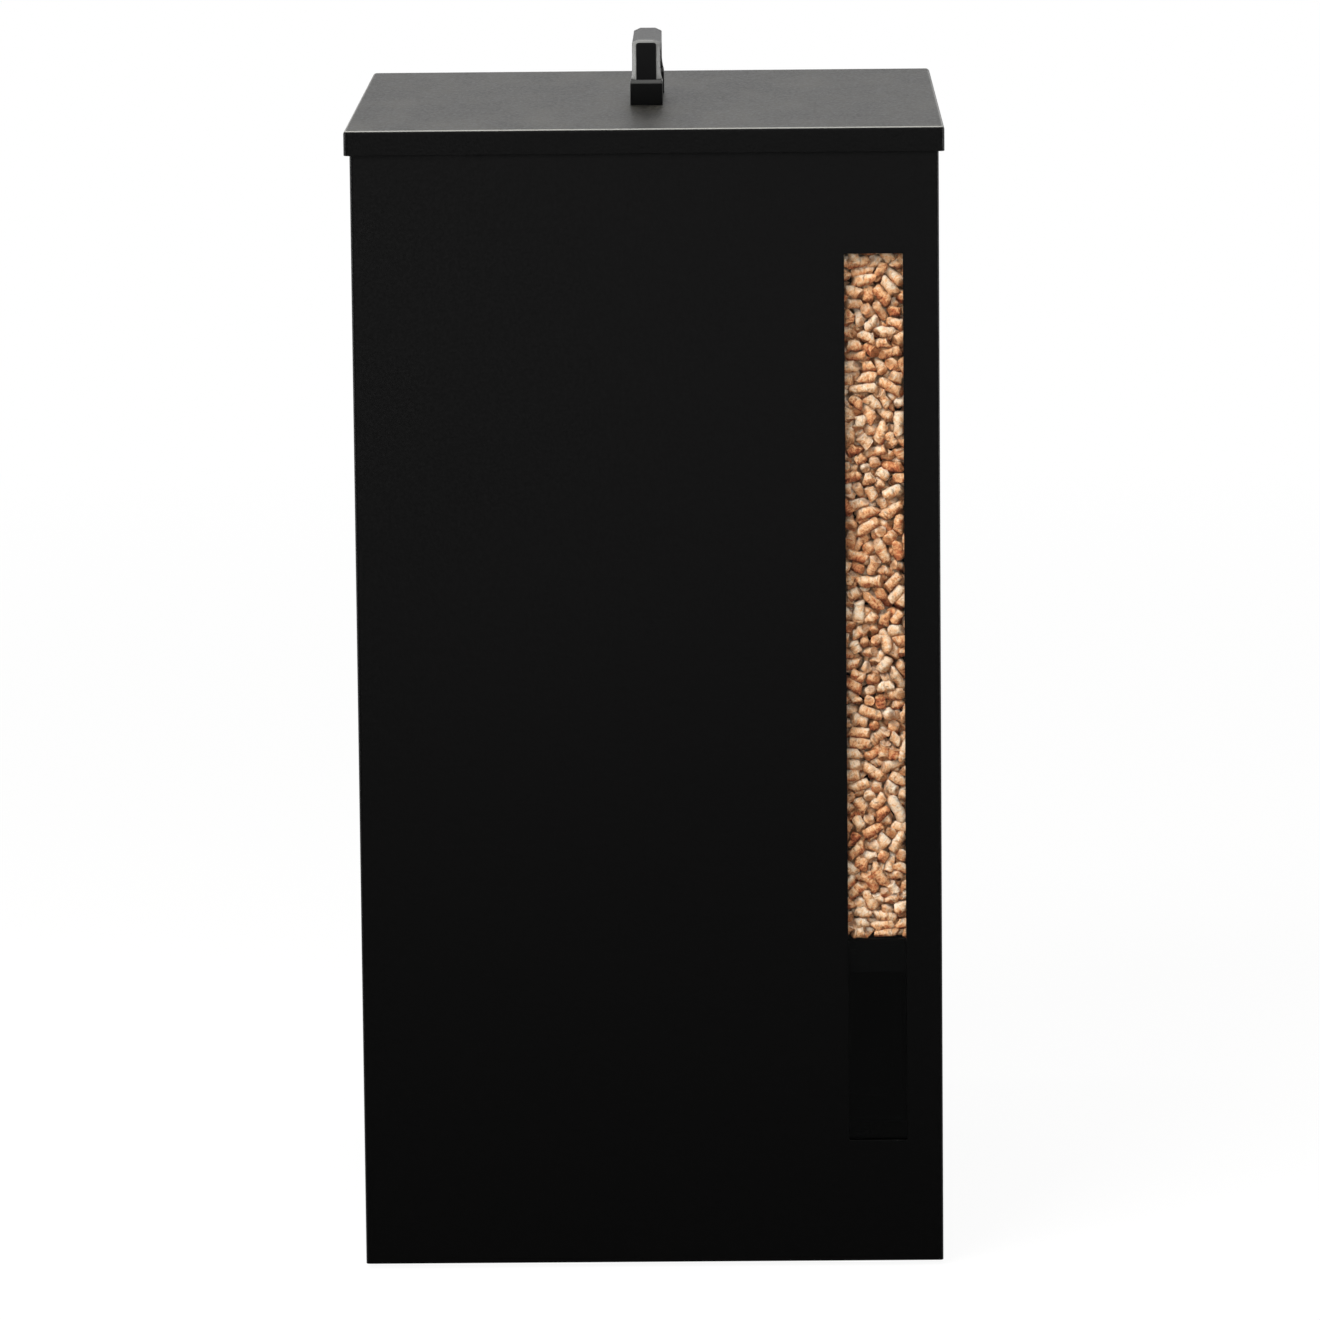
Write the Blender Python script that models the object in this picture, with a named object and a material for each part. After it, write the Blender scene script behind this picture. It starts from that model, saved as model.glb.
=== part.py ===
"""Pellet storage bin: a folded steel body with a sight window, a raised floor and a lift-off lid.

Metres, +Z up, origin on the floor under the middle of the bin, front towards -Y, window on the +X side.
"""
import math

import bpy

# Body
BODY_WIDTH = 0.350
BODY_DEPTH = 0.400
TOTAL_HEIGHT = 0.692
SHEET = 0.0012
BEND_INNER_RADIUS = 0.0010
BEND_SEGMENTS = 3
GROUND_GAP = 0.0030
RIM_BAR_WIDTH = 0.0140
RIM_BAR_THICKNESS = 0.0030
CORNER_LEG = 0.0160
BASE_FLANGE = 0.0200

# Clearance left between two pieces that touch on the real bin
FIT = 0.0003

# Lid
LID_SKIRT = 0.0150
LID_PLAY = 0.0022
SEAL_WIDTH = 0.0100
SEAL_THICKNESS = 0.0040
SEAL_INSET = 0.0020

# Sight window
WINDOW_WIDTH = 0.0350
WINDOW_SIDE_MARGIN = 0.0216
WINDOW_BELOW_RIM = 0.0702
WINDOW_BOTTOM = 0.0775
PANE_THICKNESS = 0.0030
PANE_LAP = 0.0060
GASKET_THICKNESS = 0.0010
GASKET_LIP = 0.0050
FRAME_SHEET = 0.0010
FRAME_BEND = 0.0016
FRAME_PLAY = 0.0013
FRAME_FLANGE = 0.0102
STUDS_PER_SIDE = 4
STUD_END_MARGIN = 0.0300
STUD_RADIUS = 0.0020
STUD_BASE_RADIUS = 0.0027
STUD_BASE_HEIGHT = 0.0007
STUD_PAST_NUT = 0.0007
NUT_FLATS = 0.0070
NUT_HEIGHT = 0.0032

# Raised floor and stored pellets
FLOOR_HEIGHT = 0.2000
FLOOR_FLANGE = 0.0200
FLOOR_REAR_ROOM = 0.0060
RAIL_LEG = 0.0180
PELLETS_OVER_WINDOW = 0.0060
PELLET_CROWN = 0.0080
PELLET_SIDE_ROOM = 0.0020

# Back panel rivets
RIVETS_PER_SIDE = 4
RIVET_END_MARGIN = 0.0600
RIVET_HEAD_RADIUS = 0.0040
RIVET_HEAD_HEIGHT = 0.0013
RIVET_SHANK_RADIUS = 0.0016
RIVET_BULB_RADIUS = 0.0024
RIVET_BULB_LENGTH = 0.0025

# Glides under the base
GLIDE_RADIUS = 0.0140
GLIDE_INSET = 0.0420
GLIDE_SHANK_RADIUS = 0.0040
GLIDE_BARB_RADIUS = 0.0052
GLIDE_BARB_HEIGHT = 0.0035

# Handle
HANDLE_LENGTH = 0.0980
HANDLE_HEIGHT = 0.0400
BOW_WIDTH = 0.0173
BOW_THICKNESS = 0.0090
BOW_CORNER = 0.0030
BOW_INNER_CORNER = 0.0030
BOW_EDGE = 0.0024
COLLAR_WALL = 0.0010
COLLAR_HEIGHT = 0.0154
COLLAR_INNER_STEP = 0.0030
COLLAR_EDGE = 0.0006
PLATE_WIDTH = 0.0300
PLATE_MARGIN = 0.0120
PLATE_THICKNESS = 0.0015
SCREW_RADIUS = 0.0025
SCREW_DEPTH = 0.0120
SCREW_HEAD_RADIUS = 0.0048
SCREW_HEAD_HEIGHT = 0.0030
WASHER_RADIUS = 0.0075
WASHER_THICKNESS = 0.0012

# Positions that follow from the sizes above
BEND_RADIUS = BEND_INNER_RADIUS + SHEET
HALF_X = BODY_WIDTH / 2
HALF_Y = BODY_DEPTH / 2
INSIDE_X = HALF_X - SHEET - FIT
BASE_Z = GROUND_GAP
LID_UNDER_Z = TOTAL_HEIGHT - SHEET
RIM_Z = LID_UNDER_Z - SEAL_THICKNESS - 2 * FIT
REAR_Y = HALF_Y - SHEET - FIT
LID_HALF_X = HALF_X + LID_PLAY + SHEET
LID_HALF_Y = HALF_Y + LID_PLAY + SHEET
WINDOW_TOP = RIM_Z - WINDOW_BELOW_RIM
WINDOW_X = HALF_X - WINDOW_SIDE_MARGIN - WINDOW_WIDTH / 2
WINDOW_Z = (WINDOW_TOP + WINDOW_BOTTOM) / 2
WINDOW_LENGTH = WINDOW_TOP - WINDOW_BOTTOM
PANEL_BACK_Y = -HALF_Y + SHEET
GASKET_Y = PANEL_BACK_Y + FIT
PANE_Y = GASKET_Y + GASKET_THICKNESS + FIT
FRAME_LIP_Y = PANE_Y + PANE_THICKNESS + FIT
FRAME_BACK_Y = FRAME_LIP_Y + FRAME_SHEET
PANE_HALF_X = WINDOW_WIDTH / 2 + PANE_LAP
PANE_HALF_Z = WINDOW_LENGTH / 2 + PANE_LAP
STEP_HALF_X = PANE_HALF_X + FRAME_PLAY
STEP_HALF_Z = PANE_HALF_Z + FRAME_PLAY
STUD_OUT = (FRAME_FLANGE + FRAME_SHEET) / 2
NUT_Y = GASKET_Y + FRAME_SHEET + FIT
STUD_END_Y = NUT_Y + NUT_HEIGHT + STUD_PAST_NUT
FILL_FRONT_Y = max(FRAME_BACK_Y, STUD_END_Y) + FIT
FLOOR_REAR_Y = REAR_Y - SHEET - FLOOR_REAR_ROOM


def clear_scene():
    for item in list(bpy.data.objects):
        bpy.data.objects.remove(item, do_unlink=True)


def make_finish(name, colour, roughness, metallic=0.0, transmission=0.0):
    finish = bpy.data.materials.new(name)
    finish.use_nodes = True
    shader = finish.node_tree.nodes["Principled BSDF"]
    shader.inputs["Base Color"].default_value = (*colour, 1.0)
    shader.inputs["Roughness"].default_value = roughness
    shader.inputs["Metallic"].default_value = metallic
    shader.inputs["Transmission Weight"].default_value = transmission
    finish.diffuse_color = (*colour, 1.0)
    return finish


def add_piece(name, points, faces, finish, parent):
    mesh = bpy.data.meshes.new(name)
    mesh.from_pydata(points, [], faces)
    mesh.update()
    piece = bpy.data.objects.new(name, mesh)
    piece.data.materials.append(finish)
    piece.parent = parent
    bpy.context.collection.objects.link(piece)
    return piece


def add_group(name, location):
    group = bpy.data.objects.new(name, None)
    group.empty_display_size = 0.02
    group.location = location
    bpy.context.collection.objects.link(group)
    return group


def fold_and_thicken(piece, thickness, radius):
    bend = piece.modifiers.new("bend", "BEVEL")
    bend.width = radius
    bend.segments = BEND_SEGMENTS
    bend.limit_method = "ANGLE"
    bend.angle_limit = math.radians(30)
    wall = piece.modifiers.new("wall", "SOLIDIFY")
    wall.thickness = thickness
    wall.offset = -1
    wall.use_even_offset = True
    wall.use_quality_normals = True


def round_edges(piece, width, segments):
    edge = piece.modifiers.new("edge", "BEVEL")
    edge.width = width
    edge.segments = segments
    edge.limit_method = "ANGLE"
    edge.angle_limit = math.radians(40)


def cut(piece, cutter):
    opening = piece.modifiers.new("cut_" + cutter.name, "BOOLEAN")
    opening.operation = "DIFFERENCE"
    opening.solver = "EXACT"
    opening.object = cutter
    cutter.hide_render = True
    cutter.display_type = "WIRE"


def box_mesh(low, high):
    points = [(x, y, z) for z in (low[2], high[2]) for y in (low[1], high[1]) for x in (low[0], high[0])]
    faces = [(0, 2, 3, 1), (4, 5, 7, 6), (0, 1, 5, 4), (2, 6, 7, 3), (0, 4, 6, 2), (1, 3, 7, 5)]
    return points, faces


def add_box(name, low, high, finish, parent):
    points, faces = box_mesh(low, high)
    return add_piece(name, points, faces, finish, parent)


def tray_mesh(half_x, front, rear, floor_z, edge_z):
    """Five faces of an open tray. Its edge is above its floor, or below it for an upturned one."""
    plan = [(-half_x, front), (half_x, front), (half_x, rear), (-half_x, rear)]
    points = [(x, y, floor_z) for x, y in plan] + [(x, y, edge_z) for x, y in plan]
    upright = edge_z > floor_z
    faces = [(3, 2, 1, 0) if upright else (0, 1, 2, 3)]
    for i in range(4):
        j = (i + 1) % 4
        faces.append((i, j, j + 4, i + 4) if upright else (i, i + 4, j + 4, j))
    return points, faces


def turned_mesh(profile, steps):
    """A closed turned body about Z from (radius, height) pairs. The first and last lie on the axis."""
    points = [(0, 0, profile[0][1])]
    for radius, height in profile[1:-1]:
        for i in range(steps):
            angle = 2 * math.pi * i / steps
            points.append((radius * math.cos(angle), radius * math.sin(angle), height))
    points.append((0, 0, profile[-1][1]))
    rings = len(profile) - 2
    last = len(points) - 1
    faces = []
    for i in range(steps):
        j = (i + 1) % steps
        faces.append((0, 1 + j, 1 + i))
        for ring in range(rings - 1):
            low = 1 + ring * steps
            high = low + steps
            faces.append((low + i, low + j, high + j, high + i))
        top = 1 + (rings - 1) * steps
        faces.append((top + i, top + j, last))
    return points, faces


def ring_mesh(outer, inner, height, sides, steps):
    """A flat ring from z = 0 to its height. The outer wall has its own number of sides, as on a nut."""
    count = sides * steps
    points = []
    for z in (0, height):
        for i in range(count):
            angle = 2 * math.pi * i / count
            part = angle % (2 * math.pi / sides) - math.pi / sides
            reach = outer / math.cos(part) if steps > 1 else outer
            points.append((reach * math.cos(angle), reach * math.sin(angle), z))
        for i in range(count):
            angle = 2 * math.pi * i / count
            points.append((inner * math.cos(angle), inner * math.sin(angle), z))
    faces = []
    upper = 2 * count
    for i in range(count):
        j = (i + 1) % count
        faces.append((i, j, upper + j, upper + i))
        faces.append((count + j, count + i, upper + count + i, upper + count + j))
        faces.append((j, i, count + i, count + j))
        faces.append((upper + i, upper + j, upper + count + j, upper + count + i))
    return points, faces


def add_turned(name, profile, steps, location, rotation, finish, parent):
    points, faces = turned_mesh(profile, steps)
    piece = add_piece(name, points, faces, finish, parent)
    piece.location = location
    piece.rotation_euler = rotation
    smooth(piece)
    return piece


def smooth(piece):
    piece.data.shade_smooth()
    piece.data.set_sharp_from_angle(angle=math.radians(35))


def add_hole_cutter(name, places, radius, length, rotation, parent):
    """Several pins in one cutter, each standing on its place and running both ways."""
    points = []
    faces = []
    pin_points, pin_faces = turned_mesh(
        [(0, -length / 2), (radius, -length / 2), (radius, length / 2), (0, length / 2)], 20)
    for place in places:
        base = len(points)
        for x, y, z in pin_points:
            along_y = (x, z, y) if rotation == "Y" else (x, y, z)
            points.append(tuple(a + b for a, b in zip(along_y, place)))
        for face in pin_faces:
            order = face[::-1] if rotation == "Y" else face
            faces.append(tuple(base + k for k in order))
    return add_piece(name, points, faces, CUTTER, parent)


def loop_frame_mesh(outer_a, inner_a, outer_b, inner_b):
    """A closed frame between two outer and two inner loops. Seen from side b, the loops run anticlockwise."""
    count = len(outer_a)
    points = outer_a + inner_a + outer_b + inner_b
    faces = []
    for i in range(count):
        j = (i + 1) % count
        low, inner, high, top = i, count + i, 2 * count + i, 3 * count + i
        step = j - i
        faces += [(low, low + step, high + step, high), (inner + step, inner, top, top + step),
                  (low + step, low, inner, inner + step), (high, high + step, top + step, top)]
    return points, faces


def chamfered(half_x, front, rear):
    """A rectangle in plan, anticlockwise from above, with its corners cut to clear the bends."""
    c = BEND_RADIUS
    return [(-half_x + c, front), (half_x - c, front), (half_x, front + c), (half_x, rear - c),
            (half_x - c, rear), (-half_x + c, rear), (-half_x, rear - c), (-half_x, front + c)]


def rect_loop(half_x, half_z, y):
    return [(WINDOW_X + sx * half_x, y, WINDOW_Z + sz * half_z)
            for sx, sz in ((-1, -1), (1, -1), (1, 1), (-1, 1))]


def spaced(low, high, count):
    return [low + (high - low) * i / (count - 1) for i in range(count)]


def build_body():
    points = [(x, y, z) for z in (BASE_Z, RIM_Z)
              for x, y in ((-HALF_X, REAR_Y), (-HALF_X, -HALF_Y), (HALF_X, -HALF_Y), (HALF_X, REAR_Y))]
    wrap = add_piece("body_wrap", points, [(0, 1, 5, 4), (1, 2, 6, 5), (2, 3, 7, 6)], COAT, BIN)
    fold_and_thicken(wrap, SHEET, BEND_RADIUS)
    points, faces = box_mesh(
        (WINDOW_X - WINDOW_WIDTH / 2, -HALF_Y - 0.01, WINDOW_BOTTOM),
        (WINDOW_X + WINDOW_WIDTH / 2, -HALF_Y + 0.01, WINDOW_TOP))
    cut(wrap, add_piece("window_slot_cutter", points, faces, CUTTER, BIN))

    loops = [[(x, y, z) for x, y in chamfered(INSIDE_X - inset, GASKET_Y + inset, REAR_Y - inset)]
             for z in (RIM_Z - RIM_BAR_THICKNESS, RIM_Z) for inset in (0, RIM_BAR_WIDTH)]
    points, faces = loop_frame_mesh(*loops)
    add_piece("rim_frame", points, faces, COAT, BIN)

    back = add_box("back_panel", (-HALF_X + FIT, REAR_Y + FIT, BASE_Z), (HALF_X - FIT, HALF_Y, RIM_Z), COAT, BIN)
    low = BASE_Z + BASE_FLANGE + FIT
    high = RIM_Z - RIM_BAR_THICKNESS - FIT
    rows = spaced(BASE_Z + RIVET_END_MARGIN, RIM_Z - RIVET_END_MARGIN, RIVETS_PER_SIDE)
    rivet_x = INSIDE_X - CORNER_LEG * 0.55
    places = [(side * rivet_x, REAR_Y, z) for z in rows for side in (-1, 1)]
    holes = add_hole_cutter("rivet_hole_cutter", places, RIVET_SHANK_RADIUS + FIT, 0.02, "Y", BIN)
    cut(back, holes)
    for name, side in (("rear_corner_angle_left", -1), ("rear_corner_angle_right", 1)):
        plan = ((INSIDE_X, REAR_Y - CORNER_LEG), (INSIDE_X, REAR_Y), (INSIDE_X - CORNER_LEG, REAR_Y))
        points = [(side * x, y, z) for x, y in plan for z in (low, high)]
        faces = [(0, 2, 3, 1), (2, 4, 5, 3)] if side > 0 else [(0, 1, 3, 2), (2, 3, 5, 4)]
        angle = add_piece(name, points, faces, COAT, BIN)
        fold_and_thicken(angle, SHEET, BEND_RADIUS)
        cut(angle, holes)
    grip = 2 * SHEET + FIT
    profile = [
        (0, -grip - FIT - RIVET_BULB_LENGTH),
        (RIVET_BULB_RADIUS * 0.75, -grip - FIT - RIVET_BULB_LENGTH),
        (RIVET_BULB_RADIUS, -grip - FIT - RIVET_BULB_LENGTH * 0.6),
        (RIVET_BULB_RADIUS, -grip - FIT),
        (RIVET_SHANK_RADIUS, -grip - FIT),
        (RIVET_SHANK_RADIUS, FIT),
        (RIVET_HEAD_RADIUS, FIT),
        (RIVET_HEAD_RADIUS * 0.93, FIT + RIVET_HEAD_HEIGHT * 0.45),
        (RIVET_HEAD_RADIUS * 0.62, FIT + RIVET_HEAD_HEIGHT * 0.85),
        (RIVET_HEAD_RADIUS * 0.30, FIT + RIVET_HEAD_HEIGHT),
        (0, FIT + RIVET_HEAD_HEIGHT),
    ]
    for number, (x, y, z) in enumerate(places, 1):
        add_turned("back_rivet_%d" % number, profile, 16, (x, HALF_Y, z), (-math.pi / 2, 0, 0), ZINC, BIN)


def build_base():
    points, faces = tray_mesh(INSIDE_X, GASKET_Y, REAR_Y, BASE_Z, BASE_Z + BASE_FLANGE)
    pan = add_piece("base_pan", points, faces, COAT, BIN)
    fold_and_thicken(pan, SHEET, BEND_RADIUS)
    gx = HALF_X - GLIDE_INSET
    gy = HALF_Y - GLIDE_INSET
    places = [(sx * gx, sy * gy, BASE_Z) for sy in (-1, 1) for sx in (-1, 1)]
    cut(pan, add_hole_cutter("glide_hole_cutter", places, GLIDE_SHANK_RADIUS + FIT, 0.02, "Z", BIN))
    top = BASE_Z + SHEET + FIT
    profile = [
        (0, 0), (GLIDE_RADIUS - 0.0006, 0), (GLIDE_RADIUS, 0.0006), (GLIDE_RADIUS, GROUND_GAP - FIT),
        (GLIDE_SHANK_RADIUS, GROUND_GAP - FIT), (GLIDE_SHANK_RADIUS, top), (GLIDE_BARB_RADIUS, top),
        (GLIDE_SHANK_RADIUS * 0.7, top + GLIDE_BARB_HEIGHT), (0, top + GLIDE_BARB_HEIGHT),
    ]
    names = ("glide_front_left", "glide_front_right", "glide_rear_left", "glide_rear_right")
    for name, (x, y, z) in zip(names, places):
        add_turned(name, profile, 24, (x, y, 0), (0, 0, 0), PLASTIC, BIN)

    half = INSIDE_X - SHEET - FIT
    points, faces = tray_mesh(half, FILL_FRONT_Y, FLOOR_REAR_Y, FLOOR_HEIGHT, FLOOR_HEIGHT - FLOOR_FLANGE)
    shelf = add_piece("floor_shelf", points, faces, COAT, BIN)
    fold_and_thicken(shelf, SHEET, BEND_RADIUS)
    rail_z = FLOOR_HEIGHT - FLOOR_FLANGE - FIT
    for name, side in (("shelf_rail_left", -1), ("shelf_rail_right", 1)):
        points = [(side * x, y, z)
                  for x, z in ((INSIDE_X, rail_z - RAIL_LEG), (INSIDE_X, rail_z), (INSIDE_X - RAIL_LEG, rail_z))
                  for y in (FILL_FRONT_Y, REAR_Y - CORNER_LEG - FIT)]
        faces = [(0, 1, 3, 2), (2, 3, 5, 4)] if side > 0 else [(0, 2, 3, 1), (2, 4, 5, 3)]
        rail = add_piece(name, points, faces, COAT, BIN)
        fold_and_thicken(rail, SHEET, BEND_RADIUS)


def build_window():
    gasket_in_x = PANE_HALF_X - GASKET_LIP
    gasket_in_z = PANE_HALF_Z - GASKET_LIP
    loops = []
    for y in (GASKET_Y + GASKET_THICKNESS, GASKET_Y):
        loops += [rect_loop(PANE_HALF_X, PANE_HALF_Z, y), rect_loop(gasket_in_x, gasket_in_z, y)]
    points, faces = loop_frame_mesh(*loops)
    add_piece("window_gasket", points, faces, RUBBER, BIN)

    low = (WINDOW_X - PANE_HALF_X, PANE_Y, WINDOW_Z - PANE_HALF_Z)
    high = (WINDOW_X + PANE_HALF_X, PANE_Y + PANE_THICKNESS, WINDOW_Z + PANE_HALF_Z)
    add_box("window_pane", low, high, ACRYLIC, BIN)

    loops = (rect_loop(STEP_HALF_X + FRAME_FLANGE, STEP_HALF_Z + FRAME_FLANGE, GASKET_Y)
             + rect_loop(STEP_HALF_X, STEP_HALF_Z, GASKET_Y)
             + rect_loop(STEP_HALF_X, STEP_HALF_Z, FRAME_LIP_Y)
             + rect_loop(WINDOW_WIDTH / 2, WINDOW_LENGTH / 2, FRAME_LIP_Y))
    faces = []
    for ring in range(3):
        for i in range(4):
            j = (i + 1) % 4
            faces.append((ring * 4 + i, ring * 4 + j, ring * 4 + 4 + j, ring * 4 + 4 + i))
    frame = add_piece("window_frame", loops, faces, ZINC, BIN)
    fold_and_thicken(frame, FRAME_SHEET, FRAME_BEND)

    rows = spaced(WINDOW_BOTTOM + STUD_END_MARGIN, WINDOW_TOP - STUD_END_MARGIN, STUDS_PER_SIDE)
    stud_x = STEP_HALF_X + STUD_OUT
    places = [(WINDOW_X + side * stud_x, GASKET_Y, z) for z in rows for side in (-1, 1)]
    cut(frame, add_hole_cutter("stud_hole_cutter", places, STUD_BASE_RADIUS + FIT, 0.006, "Y", BIN))
    stud_length = STUD_END_Y - GASKET_Y
    stud = [(0, 0), (STUD_BASE_RADIUS, 0), (STUD_BASE_RADIUS, STUD_BASE_HEIGHT), (STUD_RADIUS, STUD_BASE_HEIGHT),
            (STUD_RADIUS, stud_length - 0.0004), (STUD_RADIUS - 0.0004, stud_length), (0, stud_length)]
    for number, (x, y, z) in enumerate(places, 1):
        add_turned("frame_stud_%d" % number, stud, 16, (x, GASKET_Y, z), (-math.pi / 2, 0, 0), ZINC, BIN)
        points, faces = ring_mesh(NUT_FLATS / 2, STUD_RADIUS + FIT, NUT_HEIGHT, 6, 4)
        nut = add_piece("frame_nut_%d" % number, points, faces, ZINC, BIN)
        nut.location = (x, NUT_Y, z)
        nut.rotation_euler = (-math.pi / 2, 0, 0)


def build_fill():
    """The stored pellets as one heap: flat sides, and a top that rises to a low crown in the middle."""
    steps = 8
    half = HALF_X - SHEET - PELLET_SIDE_ROOM
    front = FILL_FRONT_Y
    rear = FLOOR_REAR_Y
    bottom = FLOOR_HEIGHT + FIT
    level = WINDOW_TOP + PELLETS_OVER_WINDOW
    points = []
    for k in range(2):
        for j in range(steps + 1):
            for i in range(steps + 1):
                u = i / steps
                v = j / steps
                lift = PELLET_CROWN * math.sin(math.pi * u) * math.sin(math.pi * v)
                z = level + lift if k else bottom
                points.append((-half + 2 * half * u, front + (rear - front) * v, z))
    row = steps + 1
    layer = row * row
    faces = []
    for j in range(steps):
        for i in range(steps):
            a = j * row + i
            faces.append((a, a + row, a + row + 1, a + 1))
            faces.append((layer + a, layer + a + 1, layer + a + row + 1, layer + a + row))
    for i in range(steps):
        a = i
        b = steps * row + i
        c = i * row
        d = i * row + steps
        faces.append((a, a + 1, layer + a + 1, layer + a))
        faces.append((b + 1, b, layer + b, layer + b + 1))
        faces.append((c + row, c, layer + c, layer + c + row))
        faces.append((d, d + row, layer + d + row, layer + d))
    add_piece("pellet_fill", points, faces, PELLETS, BIN)


def build_lid():
    lift = -LID.location.z
    skirt_z = TOTAL_HEIGHT - LID_SKIRT + lift
    points, faces = tray_mesh(LID_HALF_X, -LID_HALF_Y, LID_HALF_Y, TOTAL_HEIGHT + lift, skirt_z)
    pan = add_piece("lid_pan", points, faces, COAT, LID)
    fold_and_thicken(pan, SHEET, BEND_RADIUS)

    loops = [[(x, y, z) for x, y in chamfered(HALF_X - SEAL_INSET - inset, -HALF_Y + SEAL_INSET + inset,
                                              HALF_Y - SEAL_INSET - inset)]
             for z in (RIM_Z + FIT + lift, RIM_Z + FIT + SEAL_THICKNESS + lift) for inset in (0, SEAL_WIDTH)]
    points, faces = loop_frame_mesh(*loops)
    add_piece("lid_seal", points, faces, RUBBER, LID)

    leg_y = HANDLE_LENGTH / 2 - COLLAR_WALL - FIT - BOW_THICKNESS / 2
    places = [(0, -leg_y, LID_UNDER_Z + lift), (0, leg_y, LID_UNDER_Z + lift)]
    holes = add_hole_cutter("handle_hole_cutter", places, SCREW_RADIUS + FIT, 0.02, "Z", LID)
    cut(pan, holes)

    top = LID_UNDER_Z - FIT + lift
    half_y = HANDLE_LENGTH / 2 + PLATE_MARGIN
    plate = add_box("handle_backing_plate", (-PLATE_WIDTH / 2, -half_y, top - PLATE_THICKNESS),
                    (PLATE_WIDTH / 2, half_y, top), ZINC, LID)
    cut(plate, holes)
    washer_top = top - PLATE_THICKNESS - FIT
    head_top = washer_top - WASHER_THICKNESS - FIT
    screw = [
        (0, -SCREW_HEAD_HEIGHT), (SCREW_HEAD_RADIUS * 0.6, -SCREW_HEAD_HEIGHT),
        (SCREW_HEAD_RADIUS * 0.92, -SCREW_HEAD_HEIGHT * 0.7), (SCREW_HEAD_RADIUS, -SCREW_HEAD_HEIGHT * 0.3),
        (SCREW_HEAD_RADIUS, 0), (SCREW_RADIUS, 0),
        (SCREW_RADIUS, TOTAL_HEIGHT + SCREW_DEPTH + lift - head_top - 0.0005),
        (SCREW_RADIUS - 0.0005, TOTAL_HEIGHT + SCREW_DEPTH + lift - head_top),
        (0, TOTAL_HEIGHT + SCREW_DEPTH + lift - head_top),
    ]
    for name, (x, y, z) in zip(("front", "rear"), places):
        add_turned("handle_screw_" + name, screw, 20, (x, y, head_top), (0, 0, 0), ZINC, LID)
        points, faces = ring_mesh(WASHER_RADIUS, SCREW_RADIUS + FIT, WASHER_THICKNESS, 28, 1)
        washer = add_piece("handle_washer_" + name, points, faces, ZINC, LID)
        washer.location = (x, y, washer_top - WASHER_THICKNESS)

    seat = TOTAL_HEIGHT + FIT + lift
    bow = add_bow(leg_y + BOW_THICKNESS / 2, seat, TOTAL_HEIGHT + HANDLE_HEIGHT + lift)
    sockets = [(x, y, seat) for x, y, z in places]
    depth = 2 * (SCREW_DEPTH + FIT)
    cut(bow, add_hole_cutter("leg_hole_cutter", sockets, SCREW_RADIUS + FIT, depth, "Z", LID))
    for name, side in (("front", -1), ("rear", 1)):
        add_collar("handle_collar_" + name, side, leg_y, seat)


def add_bow(half, low, high):
    """Side outline of the bow, an upturned U with round corners, drawn out along X."""
    inner = BOW_INNER_CORNER
    outline = [(-half, low)]
    outline += corner(-half + BOW_CORNER, high - BOW_CORNER, BOW_CORNER, 180, 90)
    outline += corner(half - BOW_CORNER, high - BOW_CORNER, BOW_CORNER, 90, 0)
    outline += [(half, low), (half - BOW_THICKNESS, low)]
    ceiling = high - BOW_THICKNESS
    outline += corner(half - BOW_THICKNESS - inner, ceiling - inner, inner, 0, 90)
    outline += corner(-half + BOW_THICKNESS + inner, ceiling - inner, inner, 90, 180)
    outline.append((-half + BOW_THICKNESS, low))
    count = len(outline)
    points = [(x, y, z) for x in (-BOW_WIDTH / 2, BOW_WIDTH / 2) for y, z in outline]
    faces = [tuple(range(count)), tuple(range(2 * count - 1, count - 1, -1))]
    for i in range(count):
        j = (i + 1) % count
        faces.append((j, i, count + i, count + j))
    bow = add_piece("handle_bow", points, faces, PLASTIC, LID)
    round_edges(bow, BOW_EDGE, 3)
    return bow


def corner(y, z, radius, start, end):
    steps = 8
    angles = [math.radians(start + (end - start) * i / steps) for i in range(steps + 1)]
    return [(y + radius * math.cos(a), z + radius * math.sin(a)) for a in angles]


def add_collar(name, side, leg_y, seat):
    half_x = BOW_WIDTH / 2 + FIT + COLLAR_WALL
    outer = leg_y + BOW_THICKNESS / 2 + FIT + COLLAR_WALL
    inner = leg_y - BOW_THICKNESS / 2 - FIT - COLLAR_INNER_STEP
    ys = sorted((side * outer, side * inner))
    collar = add_box(name, (-half_x, ys[0], seat), (half_x, ys[1], seat + COLLAR_HEIGHT), PLASTIC, LID)
    round_edges(collar, COLLAR_EDGE, 2)
    reach = BOW_THICKNESS / 2 + FIT
    points, faces = box_mesh((-BOW_WIDTH / 2 - FIT, side * leg_y - reach, seat - 0.01),
                             (BOW_WIDTH / 2 + FIT, side * leg_y + reach, seat + COLLAR_HEIGHT + 0.01))
    cutter = add_piece(name + "_cutter", points, faces, CUTTER, LID)
    round_edges(cutter, BOW_EDGE, 3)
    cut(collar, cutter)


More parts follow.
